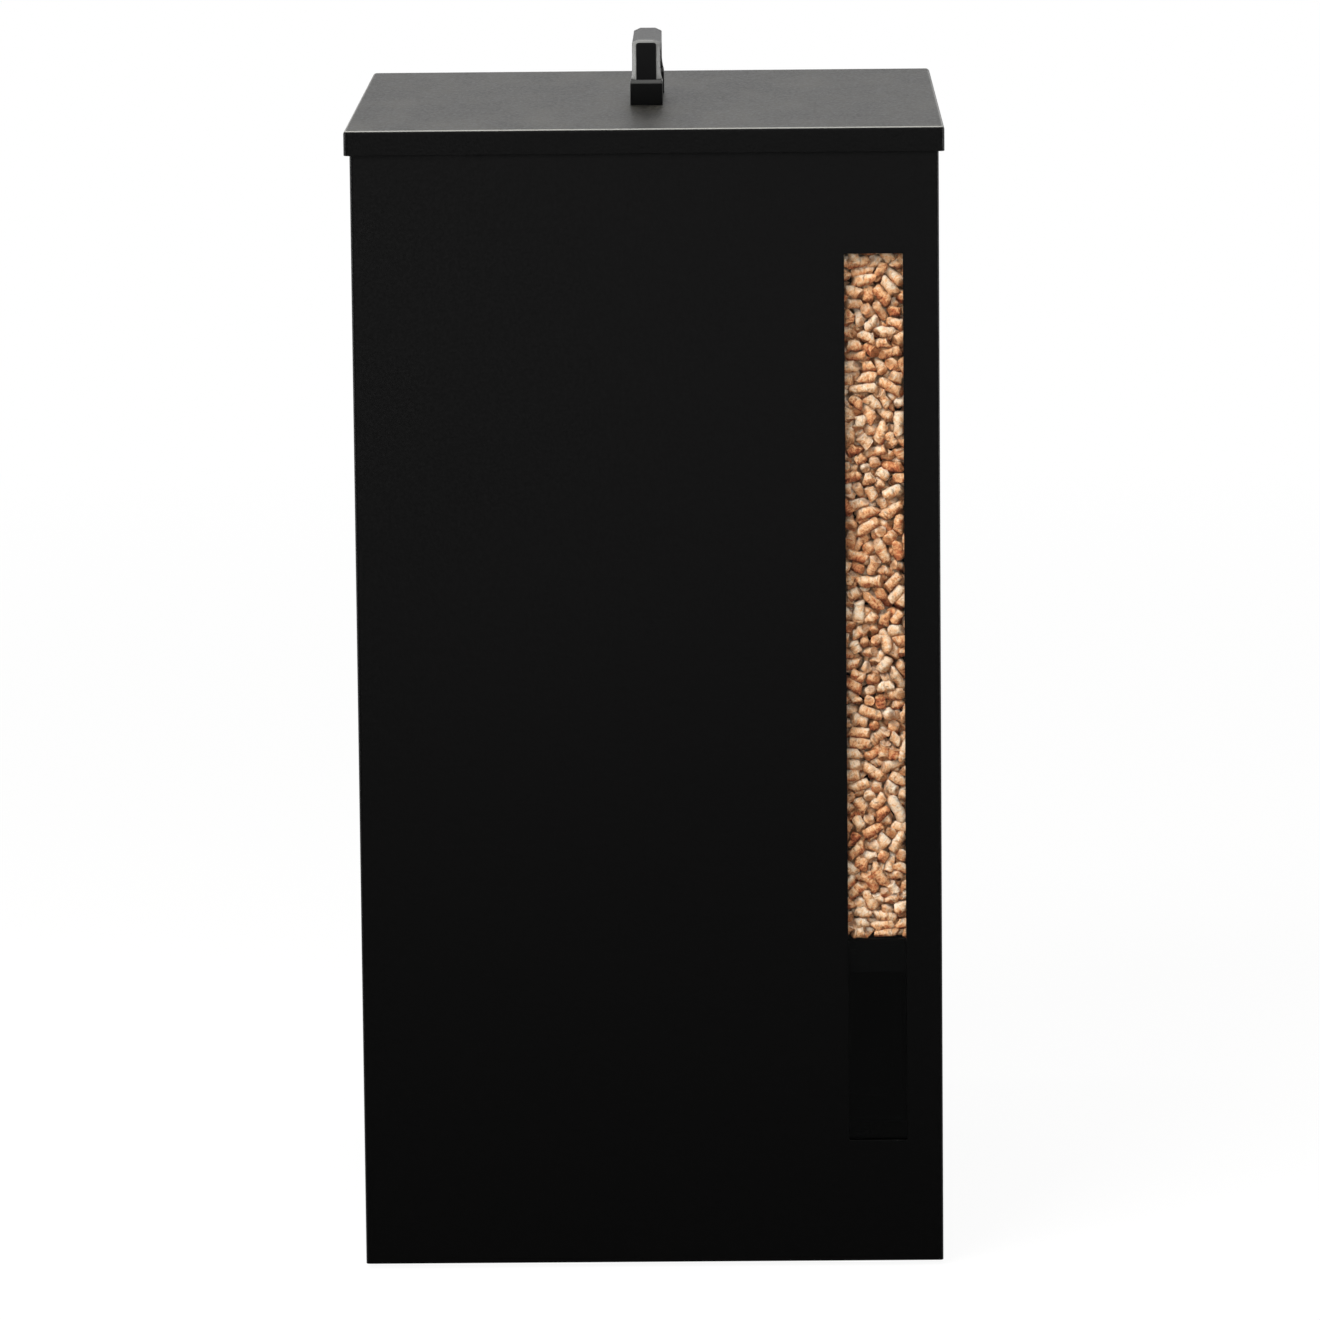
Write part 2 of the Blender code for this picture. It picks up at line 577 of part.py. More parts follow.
clear_scene()
COAT = make_finish("black_powder_coat", (0.010, 0.010, 0.010), 0.55)
PLASTIC = make_finish("black_plastic", (0.012, 0.012, 0.012), 0.45)
ACRYLIC = make_finish("clear_acrylic", (0.95, 0.97, 0.97), 0.05, 0.0, 1.0)
RUBBER = make_finish("black_rubber", (0.015, 0.015, 0.015), 0.90)
ZINC = make_finish("zinc_plated_steel", (0.55, 0.55, 0.53), 0.35, 1.0)
PELLETS = make_finish("wood_pellets", (0.45, 0.25, 0.14), 0.85)
CUTTER = make_finish("cutter", (0.8, 0.2, 0.2), 0.5)
BIN = add_group("bin", (0, 0, 0))
LID = add_group("lid", (0, 0, RIM_Z))
build_body()
build_base()
build_window()
build_fill()
build_lid()
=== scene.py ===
import math

import bpy
import numpy as np
from mathutils import Matrix, Vector


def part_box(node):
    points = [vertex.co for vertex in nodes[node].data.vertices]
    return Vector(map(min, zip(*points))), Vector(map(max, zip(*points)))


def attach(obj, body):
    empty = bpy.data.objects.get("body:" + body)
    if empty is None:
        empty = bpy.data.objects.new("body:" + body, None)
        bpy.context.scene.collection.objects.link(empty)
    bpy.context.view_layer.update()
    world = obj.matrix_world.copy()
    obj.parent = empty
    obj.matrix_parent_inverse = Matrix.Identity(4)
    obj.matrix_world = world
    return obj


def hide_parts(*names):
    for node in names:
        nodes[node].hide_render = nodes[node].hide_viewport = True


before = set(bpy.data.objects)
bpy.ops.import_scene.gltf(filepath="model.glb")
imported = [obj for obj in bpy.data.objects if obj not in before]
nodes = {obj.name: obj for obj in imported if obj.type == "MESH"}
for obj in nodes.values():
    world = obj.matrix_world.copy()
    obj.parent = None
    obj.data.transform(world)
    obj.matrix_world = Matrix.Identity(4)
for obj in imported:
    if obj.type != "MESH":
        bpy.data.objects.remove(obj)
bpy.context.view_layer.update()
print("frame loaded:", len(nodes), "solids")


def linear(code):  # sRGB hex to the linear values that Blender wants
    channels = [int(code[i:i + 2], 16) / 255 for i in (1, 3, 5)]
    return [c / 12.92 if c < 0.04045 else ((c + 0.055) / 1.055) ** 2.4 for c in channels] + [1.0]


def plug(made, **inputs):
    # values or links for a node's sockets, each named by i and its number, or by its name with _ for a space
    for key, value in inputs.items():
        socket = made.inputs[int(key[1:])] if key[1:].isdigit() else made.inputs[key.replace("_", " ")]
        if isinstance(value, bpy.types.NodeSocket):
            made.id_data.links.new(value, socket)
        else:
            socket.default_value = value


def addNode(tree, kind, settings=None, stops=(), **inputs):
    # one node with its settings, the (position, hex) stops of a colour ramp, and values or links
    made = tree.nodes.new(kind)
    for key, value in (settings or {}).items():
        setattr(made, key, value)
    for index, (position, code) in enumerate(stops):
        elements = made.color_ramp.elements
        element = elements[index] if index < 2 else elements.new(position)
        element.position = position
        element.color = linear(code)
    plug(made, **inputs)
    return made


def newMaterial(name):
    material = bpy.data.materials.new(name)
    material.use_nodes = True
    return material, material.node_tree, material.node_tree.nodes["Principled BSDF"]


coat = {
    # the rubbed colour is worn grey and also a painted highlight along the bends
    "colour": "#020202", "dustColour": "#918d80", "rubbedAndHighlightColour": "#8e8d88",
    "roughness": (0.39, 0.51), "rubbedRoughness": 0.28, "ior": 1.5,
    "grainMm": 1.8,  # real grit is near 0.3 mm; drawn coarser so that it shows at this distance
    "speckMm": 5.0, "speckDepthMm": 0.07,
    "waveMm": 140, "waveDepthMm": 0.12, "waveStrength": 0.12,
    "patchMm": 22, "wipe": 0.36, "patchLow": 0.36,
    "dustSlope": (0.75, 0.97),  # z of the normal from which dust lies, and at which it lies fully
}


def powderCoat(name, dust, gloss, gritMm):
    # polyester powder coat, sprayed and baked on sheet steel: deep black, satin, with a fine even grit;
    # on bends that hands rub it is greyer and smoother, and that grey also stands in for a painted highlight
    material, tree, shader = newMaterial(name)
    place = addNode(tree, "ShaderNodeTexCoord").outputs["Object"]
    grain = addNode(tree, "ShaderNodeTexNoise", Vector=place, Scale=1000 / coat["grainMm"], Detail=1.0,
                    Roughness=0.5).outputs["Fac"]
    speck = addNode(tree, "ShaderNodeTexNoise", Vector=place, Scale=1000 / coat["speckMm"], Detail=2.0,
                    Roughness=0.5).outputs["Fac"]
    wave = addNode(tree, "ShaderNodeTexNoise", Vector=place, Scale=1000 / coat["waveMm"],
                   Detail=1.0).outputs["Fac"]
    sway = addNode(tree, "ShaderNodeBump", Height=wave, Distance=coat["waveDepthMm"] / 1000,
                   Strength=coat["waveStrength"])
    peel = addNode(tree, "ShaderNodeBump", Height=speck, Distance=coat["speckDepthMm"] / 1000, Strength=1.0,
                   Normal=sway.outputs["Normal"])
    grit = addNode(tree, "ShaderNodeBump", Height=grain, Distance=gritMm / 1000, Strength=1.0,
                   Normal=peel.outputs["Normal"])
    # pale dust lies on what faces up, in specks and in smears drawn out from front to back by wiping
    wiped = addNode(tree, "ShaderNodeMapping", Vector=place,
                    Scale=(1.0, coat["wipe"], 1.0)).outputs["Vector"]
    patches = addNode(tree, "ShaderNodeTexNoise", Vector=wiped, Scale=1000 / coat["patchMm"], Detail=3.0,
                      Roughness=0.5).outputs["Fac"]
    loose = addNode(tree, "ShaderNodeMapRange", i0=patches, i1=0.38, i2=0.70, i3=coat["patchLow"],
                    i4=1.0).outputs["Result"]
    specks = addNode(tree, "ShaderNodeMapRange", i0=grain, i1=0.36, i2=0.66, i3=0.0,
                     i4=1.0).outputs["Result"]
    normal = addNode(tree, "ShaderNodeNewGeometry").outputs["Normal"]
    upward = addNode(tree, "ShaderNodeSeparateXYZ", Vector=normal).outputs["Z"]
    upward = addNode(tree, "ShaderNodeMapRange", i0=upward, i1=coat["dustSlope"][0],
                     i2=coat["dustSlope"][1], i3=0.0, i4=dust).outputs["Result"]
    lying = addNode(tree, "ShaderNodeMath", {"operation": "MULTIPLY"}, i0=loose, i1=specks).outputs[0]
    lying = addNode(tree, "ShaderNodeMath", {"operation": "MULTIPLY"}, i0=lying, i1=upward).outputs[0]
    colour = addNode(tree, "ShaderNodeMix", {"data_type": "RGBA"}, i0=lying, i6=linear(coat["colour"]),
                     i7=linear(coat["dustColour"])).outputs[2]
    # mask for worn grey and painted highlight on the bends, painted on the mesh
    rubbedAndHighlight = addNode(tree, "ShaderNodeAttribute", {"attribute_name": "rubbedAndHighlight"}).outputs["Fac"]
    colour = addNode(tree, "ShaderNodeMix", {"data_type": "RGBA"}, i0=rubbedAndHighlight, i6=colour,
                     i7=linear(coat["rubbedAndHighlightColour"])).outputs[2]
    # the satin is a little uneven
    rough = addNode(tree, "ShaderNodeMapRange", i0=grain, i1=0.35, i2=0.65, i3=coat["roughness"][0],
                    i4=coat["roughness"][1]).outputs["Result"]
    rough = addNode(tree, "ShaderNodeMix", {"data_type": "FLOAT"}, i0=rubbedAndHighlight, i2=rough,
                    i3=coat["rubbedRoughness"]).outputs[0]
    plug(shader, Base_Color=colour, Roughness=rough, Normal=grit.outputs["Normal"], Specular_IOR_Level=gloss,
         IOR=coat["ior"])
    return material


# the rubbed colour is worn grey and also a painted highlight on the handle's chamfers and edges
plastic = {"colour": "#020202", "fleck": "#050505", "rubbedAndHighlight": "#6a6a68", "roughness": (0.34, 0.48),
           "rubbedRoughness": 0.24, "specular": 0.18, "ior": 1.53, "grainMm": 0.9, "grainDepthMm": 0.02}


def mouldedNylon(name):
    # glass-filled nylon, moulded in a spark-eroded tool: black, half gloss, a fine leathery skin; the edges
    # that hands rub are greyer and smoother, and that grey also stands in for a painted highlight
    material, tree, shader = newMaterial(name)
    place = addNode(tree, "ShaderNodeTexCoord").outputs["Object"]
    skin = addNode(tree, "ShaderNodeTexNoise", Vector=place, Scale=1000 / plastic["grainMm"], Detail=2.0,
                   Roughness=0.5).outputs["Fac"]
    bump = addNode(tree, "ShaderNodeBump", Height=skin, Distance=plastic["grainDepthMm"] / 1000, Strength=0.6)
    # mask for worn grey and painted highlight, painted on the mesh
    rubbedAndHighlight = addNode(tree, "ShaderNodeAttribute", {"attribute_name": "rubbedAndHighlight"}).outputs["Fac"]
    rough = addNode(tree, "ShaderNodeMapRange", i0=skin, i1=0.3, i2=0.7, i3=plastic["roughness"][0],
                    i4=plastic["roughness"][1]).outputs["Result"]
    rough = addNode(tree, "ShaderNodeMix", {"data_type": "FLOAT"}, i0=rubbedAndHighlight, i2=rough,
                    i3=plastic["rubbedRoughness"]).outputs[0]
    tone = addNode(tree, "ShaderNodeValToRGB", stops=[(0.3, plastic["colour"]), (0.75, plastic["fleck"])],
                   Fac=skin)
    tone = addNode(tree, "ShaderNodeMix", {"data_type": "RGBA"}, i0=rubbedAndHighlight, i6=tone.outputs["Color"],
                   i7=linear(plastic["rubbedAndHighlight"])).outputs[2]
    plug(shader, Base_Color=tone, Roughness=rough, Normal=bump.outputs["Normal"], IOR=plastic["ior"],
         Specular_IOR_Level=plastic["specular"])
    return material


rubber = {"tones": [(0.0, "#0a0a0a"), (1.0, "#1c1c1b"), (0.6, "#121212")], "roughness": 0.85, "ior": 1.52,
          "specular": 0.35, "poreMm": 0.8, "poreDepthMm": 0.06}


def closedCellRubber(name):
    # sponge rubber strip with a skin: dull, dark grey, with fine pores
    material, tree, shader = newMaterial(name)
    place = addNode(tree, "ShaderNodeTexCoord").outputs["Object"]
    pores = addNode(tree, "ShaderNodeTexVoronoi", Vector=place,
                    Scale=1000 / rubber["poreMm"]).outputs["Distance"]
    bump = addNode(tree, "ShaderNodeBump", Height=pores, Distance=rubber["poreDepthMm"] / 1000, Strength=0.7)
    tone = addNode(tree, "ShaderNodeValToRGB", stops=rubber["tones"], Fac=pores)
    plug(shader, Base_Color=tone.outputs["Color"], Roughness=rubber["roughness"],
         Normal=bump.outputs["Normal"], IOR=rubber["ior"], Specular_IOR_Level=rubber["specular"])
    return material


zinc = {"bright": ("#9a9fa6", "#c9ccd0"), "blackened": ("#101113", "#1e2022"), "roughness": (0.26, 0.46),
        "spangleMm": 1.8, "scratchMm": 0.25, "scratchDepthMm": 0.01, "scratchDraw": 0.06}


def zincPlate(name, tones):
    # zinc plate on pressed steel, left bright or blackened: metal with faint cloudy patches and fine
    # rubbed lines, which run upright
    material, tree, shader = newMaterial(name)
    place = addNode(tree, "ShaderNodeTexCoord").outputs["Object"]
    cloud = addNode(tree, "ShaderNodeTexNoise", Vector=place, Scale=1000 / zinc["spangleMm"],
                    Detail=2.0).outputs["Fac"]
    drawn = addNode(tree, "ShaderNodeMapping", Vector=place,
                    Scale=(1.0, 1.0, zinc["scratchDraw"])).outputs["Vector"]
    lines = addNode(tree, "ShaderNodeTexNoise", Vector=drawn, Scale=1000 / zinc["scratchMm"],
                    Detail=2.0).outputs["Fac"]
    tone = addNode(tree, "ShaderNodeValToRGB", stops=[(0.3, tones[0]), (0.7, tones[1])], Fac=cloud)
    rough = addNode(tree, "ShaderNodeMapRange", i0=lines, i1=0.3, i2=0.7, i3=zinc["roughness"][0],
                    i4=zinc["roughness"][1]).outputs["Result"]
    bump = addNode(tree, "ShaderNodeBump", Height=lines, Distance=zinc["scratchDepthMm"] / 1000, Strength=0.4)
    plug(shader, Base_Color=tone.outputs["Color"], Roughness=rough, Normal=bump.outputs["Normal"],
         Metallic=1.0)
    return material


acrylic = {"tint": "#f6faf9", "roughness": (0.03, 0.08), "ior": 1.49, "specular": 0.25, "smearMm": 18}


def castAcrylic(name):
    # cast acrylic sheet: clear, hard gloss, a faint smear of wood dust and finger grease on its faces
    material, tree, shader = newMaterial(name)
    place = addNode(tree, "ShaderNodeTexCoord").outputs["Object"]
    smear = addNode(tree, "ShaderNodeTexNoise", Vector=place, Scale=1000 / acrylic["smearMm"], Detail=4.0,
                    Roughness=0.6).outputs["Fac"]
    rough = addNode(tree, "ShaderNodeMapRange", i0=smear, i1=0.45, i2=0.75, i3=acrylic["roughness"][0],
                    i4=acrylic["roughness"][1]).outputs["Result"]
    plug(shader, Base_Color=linear(acrylic["tint"]), Roughness=rough, Transmission_Weight=1.0,
         IOR=acrylic["ior"], Specular_IOR_Level=acrylic["specular"])
    return material


wood = {
    "tones": [(0.0, "#5a2312"), (1.0, "#ecdac6"), (0.25, "#b0603a"), (0.50, "#dca270"), (0.75, "#e6c6a6")],
    "crackColour": "#3a1a0e", "crackShare": 0.5, "endColour": "#a86c40", "endShare": 0.5,
    "roughness": (0.74, 0.48), "ior": 1.5, "specular": 0.4,
    "ridgeMm": 1.3, "crackMm": 3.0, "blotchMm": 5.0, "reliefMm": 1.2,
    # paler on faces that point up (dust and painted light), darker on faces that point down (painted shade)
    "ridgeSwing": 0.30, "blotchSwing": 0.16, "dustAndShade": (-0.22, 0.18),
}


def pressedWood(name):
    # pressed spruce sawdust: pale straw to rust rods, ridged across by the die, with dark cracks and torn
    # ends
    material, tree, shader = newMaterial(name)
    tone = addNode(tree, "ShaderNodeAttribute", {"attribute_name": "tone"}).outputs["Fac"]
    ends = addNode(tree, "ShaderNodeAttribute", {"attribute_name": "torn"}).outputs["Fac"]
    along = addNode(tree, "ShaderNodeUVMap", {"uv_map": "rod"}).outputs["UV"]
    ridgeMap = addNode(tree, "ShaderNodeMapping", Vector=along,
                       Scale=(0.5 / wood["ridgeMm"], 1 / wood["ridgeMm"], 1.0)).outputs["Vector"]
    ridge = addNode(tree, "ShaderNodeTexNoise", Vector=ridgeMap, Scale=1.0, Detail=4.0, Roughness=0.68,
                    Distortion=0.5).outputs["Fac"]
    crackMap = addNode(tree, "ShaderNodeMapping", Vector=along,
                       Scale=(0.45 / wood["crackMm"], 1 / wood["crackMm"], 1.0)).outputs["Vector"]
    crack = addNode(tree, "ShaderNodeTexNoise", Vector=crackMap, Scale=1.6, Detail=3.0, Roughness=0.55,
                    Distortion=0.6).outputs["Fac"]
    crack = addNode(tree, "ShaderNodeMapRange", i0=crack, i1=0.30, i2=0.44, i3=1.0, i4=0.0).outputs["Result"]
    # each rod has its own tone; ridges and blotches swing to both sides of it, pale dust and painted light
    # lie on what faces up, and painted shade darkens what faces down
    swing = addNode(tree, "ShaderNodeMapRange", i0=ridge, i1=0.28, i2=0.72, i3=-wood["ridgeSwing"],
                    i4=wood["ridgeSwing"]).outputs["Result"]
    blotch = addNode(tree, "ShaderNodeTexNoise", Vector=along, Scale=1 / wood["blotchMm"],
                     Detail=2.0).outputs["Fac"]
    blotch = addNode(tree, "ShaderNodeMapRange", i0=blotch, i1=0.3, i2=0.7, i3=-wood["blotchSwing"],
                     i4=wood["blotchSwing"]).outputs["Result"]
    normal = addNode(tree, "ShaderNodeNewGeometry").outputs["Normal"]
    upward = addNode(tree, "ShaderNodeSeparateXYZ", Vector=normal).outputs["Z"]
    # painted light on faces that point up and painted shade on faces that point down, with dust on top
    dustAndShade = addNode(tree, "ShaderNodeMapRange", i0=upward, i1=-0.8, i2=0.8, i3=wood["dustAndShade"][0],
                    i4=wood["dustAndShade"][1]).outputs["Result"]
    mixed = addNode(tree, "ShaderNodeMath", {"operation": "ADD"}, i0=tone, i1=swing).outputs[0]
    mixed = addNode(tree, "ShaderNodeMath", {"operation": "ADD"}, i0=mixed, i1=blotch).outputs[0]
    mixed = addNode(tree, "ShaderNodeMath", {"operation": "ADD"}, i0=mixed, i1=dustAndShade).outputs[0]
    base = addNode(tree, "ShaderNodeValToRGB", stops=wood["tones"], Fac=mixed).outputs["Color"]
    torn = addNode(tree, "ShaderNodeMath", {"operation": "MULTIPLY"}, i0=ends, i1=wood["endShare"]).outputs[0]
    base = addNode(tree, "ShaderNodeMix", {"data_type": "RGBA"}, i0=torn, i6=base,
                   i7=linear(wood["endColour"])).outputs[2]
    cracked = addNode(tree, "ShaderNodeMath", {"operation": "MULTIPLY"}, i0=crack,
                      i1=wood["crackShare"]).outputs[0]
    base = addNode(tree, "ShaderNodeMix", {"data_type": "RGBA"}, i0=cracked, i6=base,
                   i7=linear(wood["crackColour"])).outputs[2]
    dents = addNode(tree, "ShaderNodeMath", {"operation": "SUBTRACT"}, i0=ridge, i1=cracked).outputs[0]
    bump = addNode(tree, "ShaderNodeBump", Height=dents, Distance=wood["reliefMm"] / 1000, Strength=1.0)
    rough = addNode(tree, "ShaderNodeMapRange", i0=ridge, i1=0.3, i2=0.7, i3=wood["roughness"][0],
                    i4=wood["roughness"][1]).outputs["Result"]
    plug(shader, Base_Color=base, Roughness=rough, Normal=bump.outputs["Normal"], IOR=wood["ior"],
         Specular_IOR_Level=wood["specular"])
    return material


# the heap's core: near black brown, painted shade for the pellets deep inside
heapShade = {"tones": [(0.0, "#3a2416"), (1.0, "#060504"), (0.5, "#1a100a")], "lumpMm": 7.0, "lumpDepthMm": 3.0,
         "roughness": 0.9, "specular": 0.2}


def paintedHeapShade(name):
    # painted shade for the heap's inside, seen deep between the rods: near black brown, rough
    material, tree, shader = newMaterial(name)
    place = addNode(tree, "ShaderNodeTexCoord").outputs["Object"]
    lumps = addNode(tree, "ShaderNodeTexVoronoi", Vector=place,
                    Scale=1000 / heapShade["lumpMm"]).outputs["Distance"]
    tone = addNode(tree, "ShaderNodeValToRGB", stops=heapShade["tones"], Fac=lumps)
    bump = addNode(tree, "ShaderNodeBump", {"invert": True}, Height=lumps,
                   Distance=heapShade["lumpDepthMm"] / 1000, Strength=0.8)
    plug(shader, Base_Color=tone.outputs["Color"], Roughness=heapShade["roughness"],
         Normal=bump.outputs["Normal"], Specular_IOR_Level=heapShade["specular"])
    return material


coatBody = powderCoat("powder_coat_body", dust=0.02, gloss=0.17, gritMm=0.04)
coatLid = powderCoat("powder_coat_lid", dust=0.17, gloss=0.158, gritMm=0.36)
coatInside = powderCoat("powder_coat_inside", dust=0.05, gloss=0.04, gritMm=0.04)
nylon = mouldedNylon("black_nylon")
seal = closedCellRubber("black_rubber")
steel = zincPlate("zinc_plate", zinc["bright"])
blackSteel = zincPlate("blackened_zinc", zinc["blackened"])
clear = castAcrylic("cast_acrylic")
pellet = pressedWood("pressed_wood")
heapShadeMaterial = paintedHeapShade("pellet_core_painted_shade")
print("materials made:", len(bpy.data.materials))


def gridFaces(rows, columns, wrapRows=False, wrapColumns=False):  # quads between neighbours of a grid
    i = np.arange(rows if wrapRows else rows - 1)[:, None]
    j = np.arange(columns if wrapColumns else columns - 1)[None, :]
    nextI = (i + 1) % rows
    nextJ = (j + 1) % columns
    corners = [i * columns + j, i * columns + nextJ, nextI * columns + nextJ, nextI * columns + j]
    return np.stack(corners, -1).reshape(-1, 4)


def roundedCorners(corners, radius, steps, closed):
    # each square corner becomes a quarter arc: centre = corner - r * way in + r * way out,
    # point = centre - r * cos(t) * way out + r * sin(t) * way in
    corners = np.asarray(corners, float)
    wayOut = np.roll(corners, -1, 0) - corners
    wayOut /= np.linalg.norm(wayOut, axis=1)[:, None]
    wayIn = np.roll(wayOut, 1, 0)
    turn = np.linspace(0, math.pi / 2, steps + 1)[None, :, None]
    centre = corners - radius * wayIn + radius * wayOut
    arcs = (centre[:, None] - radius * np.cos(turn) * wayOut[:, None]
            + radius * np.sin(turn) * wayIn[:, None])
    if closed:
        return arcs.reshape(-1, 2)
    return np.concatenate([corners[:1], arcs[1:-1].reshape(-1, 2), corners[-1:]])


def roundRect(low, high, radius, steps):  # closed loop, anticlockwise
    corners = [(low[0], low[1]), (high[0], low[1]), (high[0], high[1]), (low[0], high[1])]
    return roundedCorners(corners, radius, steps, True)


def insetLoop(low, high, inset, size):  # a box's plan drawn in all round, its corners still a little round
    radius = max(size["corner"] - inset, size["leastCorner"])
    return roundRect((low.x + inset, low.y + inset), (high.x - inset, high.y - inset), radius,
                     size["cornerSteps"])


def addPiece(name, points, faces, material, body, stands=(), sharp=None):
    mesh = bpy.data.meshes.new(name)
    places = np.asarray(points, float).reshape(-1, 3).tolist()
    mesh.from_pydata(places, [], [list(map(int, f)) for f in faces])
    mesh.materials.append(material)
    mesh.shade_smooth()
    if sharp:
        mesh.set_sharp_from_angle(angle=math.radians(sharp))
    piece = bpy.data.objects.new(name, mesh)
    bpy.context.scene.collection.objects.link(piece)
    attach(piece, body)
    if stands:
        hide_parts(*stands)
    return piece


def paint(piece, label, values):  # one number for each point of the mesh, for the material to read
    layer = piece.data.attributes.new(label, "FLOAT", "POINT")
    layer.data.foreach_set("value", np.asarray(values, np.float32).ravel())


# degrees, a weight at which large faces count for more (50 is neutral), and metres
edges = {"bevelAbove": 40, "shadeWeight": 80, "weld": 0.00001}


def evenShading(piece, weight):  # large faces set the shading, so that they look flat
    shade = piece.modifiers.new("shade", "WEIGHTED_NORMAL")
    shade.keep_sharp = False
    shade.weight = weight


def sheetMetal(piece, thickness, edge):  # wall inwards, coated edges a little round, flat faces shaded flat
    wall = piece.modifiers.new("wall", "SOLIDIFY")
    wall.thickness = thickness
    wall.offset = -1
    wall.use_even_offset = True
    softEdges(piece, edge)


def softEdges(piece, edge, segments=3):
    soft = piece.modifiers.new("soft", "BEVEL")
    soft.width = edge
    soft.segments = segments
    soft.limit_method = "ANGLE"
    soft.angle_limit = math.radians(edges["bevelAbove"])
    soft.miter_outer = "MITER_ARC"
    evenShading(piece, edges["shadeWeight"])


def loopStack(loops, heights):  # plan loops of equal length, each at its height, as one array
    loops = np.stack(loops)
    rise = np.broadcast_to(np.asarray(heights, float)[:, None, None], loops.shape[:2] + (1,))
    return np.concatenate([loops, rise], -1)


def capped(points, lowCap=True):
    # side faces of a stack of loops, with a flat face over the upper end and, if wanted, the lower one
    rows, count = points.shape[:2]
    faces = list(gridFaces(rows, count, False, True))
    if lowCap:
        faces.append(np.arange(count)[::-1])
    faces.append(np.arange(count) + (rows - 1) * count)
    return faces


shell = {"sheet": 0.0012, "bend": 0.0022, "bendSteps": 10, "edge": 0.0003, "paneLap": 0.0060}


def foldedBody():
    # open plan line (left side, front, right side) with round bends, carried up through four heights;
    # the one cell of the grid where the window is stays out
    low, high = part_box("body_wrap")
    paneLow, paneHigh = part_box("window_pane")
    slotX = (paneLow.x + shell["paneLap"], paneHigh.x - shell["paneLap"])
    slotZ = (paneLow.z + shell["paneLap"], paneHigh.z - shell["paneLap"])
    plan = roundedCorners([(low.x, high.y), (low.x, low.y), (high.x, low.y), (high.x, high.y)],
                          shell["bend"], shell["bendSteps"], False)
    half = len(plan) // 2
    plan = np.concatenate([plan[:half], [(slotX[0], low.y), (slotX[1], low.y)], plan[half:]])
    heights = [low.z, slotZ[0], slotZ[1], high.z]
    points = loopStack([plan] * len(heights), heights)
    faces = gridFaces(len(heights), len(plan))
    middle = points.reshape(-1, 3)[faces].mean(1)
    inSlot = ((middle[:, 0] > slotX[0]) & (middle[:, 0] < slotX[1])
              & (middle[:, 1] < low.y + shell["sheet"])
              & (middle[:, 2] > slotZ[0]) & (middle[:, 2] < slotZ[1]))
    piece = addPiece("folded_body", points, faces[~inSlot], coatBody, "bin", ["body_wrap"])
    sheetMetal(piece, shell["sheet"], shell["edge"])
    return slotX


slotX = foldedBody()
print("body folded, slot from", slotX[0], "to", slotX[1])

lid = {"sheet": 0.0012, "bend": 0.0022, "bendSteps": 10, "corner": 0.0030, "leastCorner": 0.0006,
       "cornerSteps": 8, "edge": 0.0003, "topInset": 0.02,
       # bend angles and shares for the painted highlight and wear, along the front and elsewhere
       "wornAndHighlightDegrees": [38, 50, 66, 78], "wornAndHighlightFront": 0.85, "wornAndHighlightElsewhere": 0.3}


def cappedLid():
    # a round-cornered loop carried up the skirt, round the bend by inset = r - r cos(t), rise = r sin(t),
    # then in over the top to one flat middle face
    low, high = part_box("lid_pan")
    turn = np.linspace(0, math.pi / 2, lid["bendSteps"] + 1)
    inset = np.concatenate([[0.0], lid["bend"] * (1 - np.cos(turn)), [lid["topInset"]]])
    rise = np.concatenate([[low.z], high.z - lid["bend"] + lid["bend"] * np.sin(turn), [high.z]])
    points = loopStack([insetLoop(low, high, d, lid) for d in inset], rise)
    faces = capped(points, False)
    piece = addPiece("capped_lid", points, faces, coatLid, "lid", ["lid_pan"])
    # painted highlight and wear: the upper part of the bend, most of all along the front
    wornAndHighlight = np.interp(np.degrees(turn), lid["wornAndHighlightDegrees"], [0, 1, 1, 0])
    wornAndHighlight = np.concatenate([[0.0], wornAndHighlight, [0.0]])[:, None]
    inFront = points[..., 1] < low.y + lid["corner"]
    paint(piece, "rubbedAndHighlight", wornAndHighlight * np.where(inFront, lid["wornAndHighlightFront"], lid["wornAndHighlightElsewhere"]))
    sheetMetal(piece, lid["sheet"], lid["edge"])


cappedLid()

sealStrip = {"width": 0.010, "corner": 0.0040, "leastCorner": 0.0008, "cornerSteps": 6, "round": 0.0015,
             "roundSteps": 5}


def sealRing():
    # a round-edged strip section, given as (inset, height) pairs, carried round the lid's plan loop
    low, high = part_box("lid_seal")
    section = roundRect((0, 0), (sealStrip["width"], high.z - low.z), sealStrip["round"],
                        sealStrip["roundSteps"])[::-1]
    loops = [insetLoop(low, high, d, sealStrip) for d in section[:, 0]]
    points = loopStack(loops, low.z + section[:, 1])
    faces = gridFaces(len(section), points.shape[1], True, True)
    addPiece("seal_ring", points, faces, seal, "lid", ["lid_seal"])


sealRing()
print("lid and seal made")

grip = {
    "thick": 0.0090, "inner": 0.0030, "outer": 0.0018, "faceCorner": 0.0015,
    "chamfer": 0.0024, "blend": 0.0003, "under": 0.0016, "underBulge": 0.3,
    "flare": 0.0009, "flareHeight": 0.0075, "heelSteps": [0.02, 0.15, 0.3, 0.5, 0.75, 1.0],
    "rayDegrees": [180, 165, 150, 144, 142.5, 141, 140, 139, 137.5, 135, 132.5, 131, 130, 120, 105, 90],
    # ray angle above which the chamfers get painted highlight and wear
    "rubbedAndHighlightAbove": 130, "shadeWeight": 70,
}


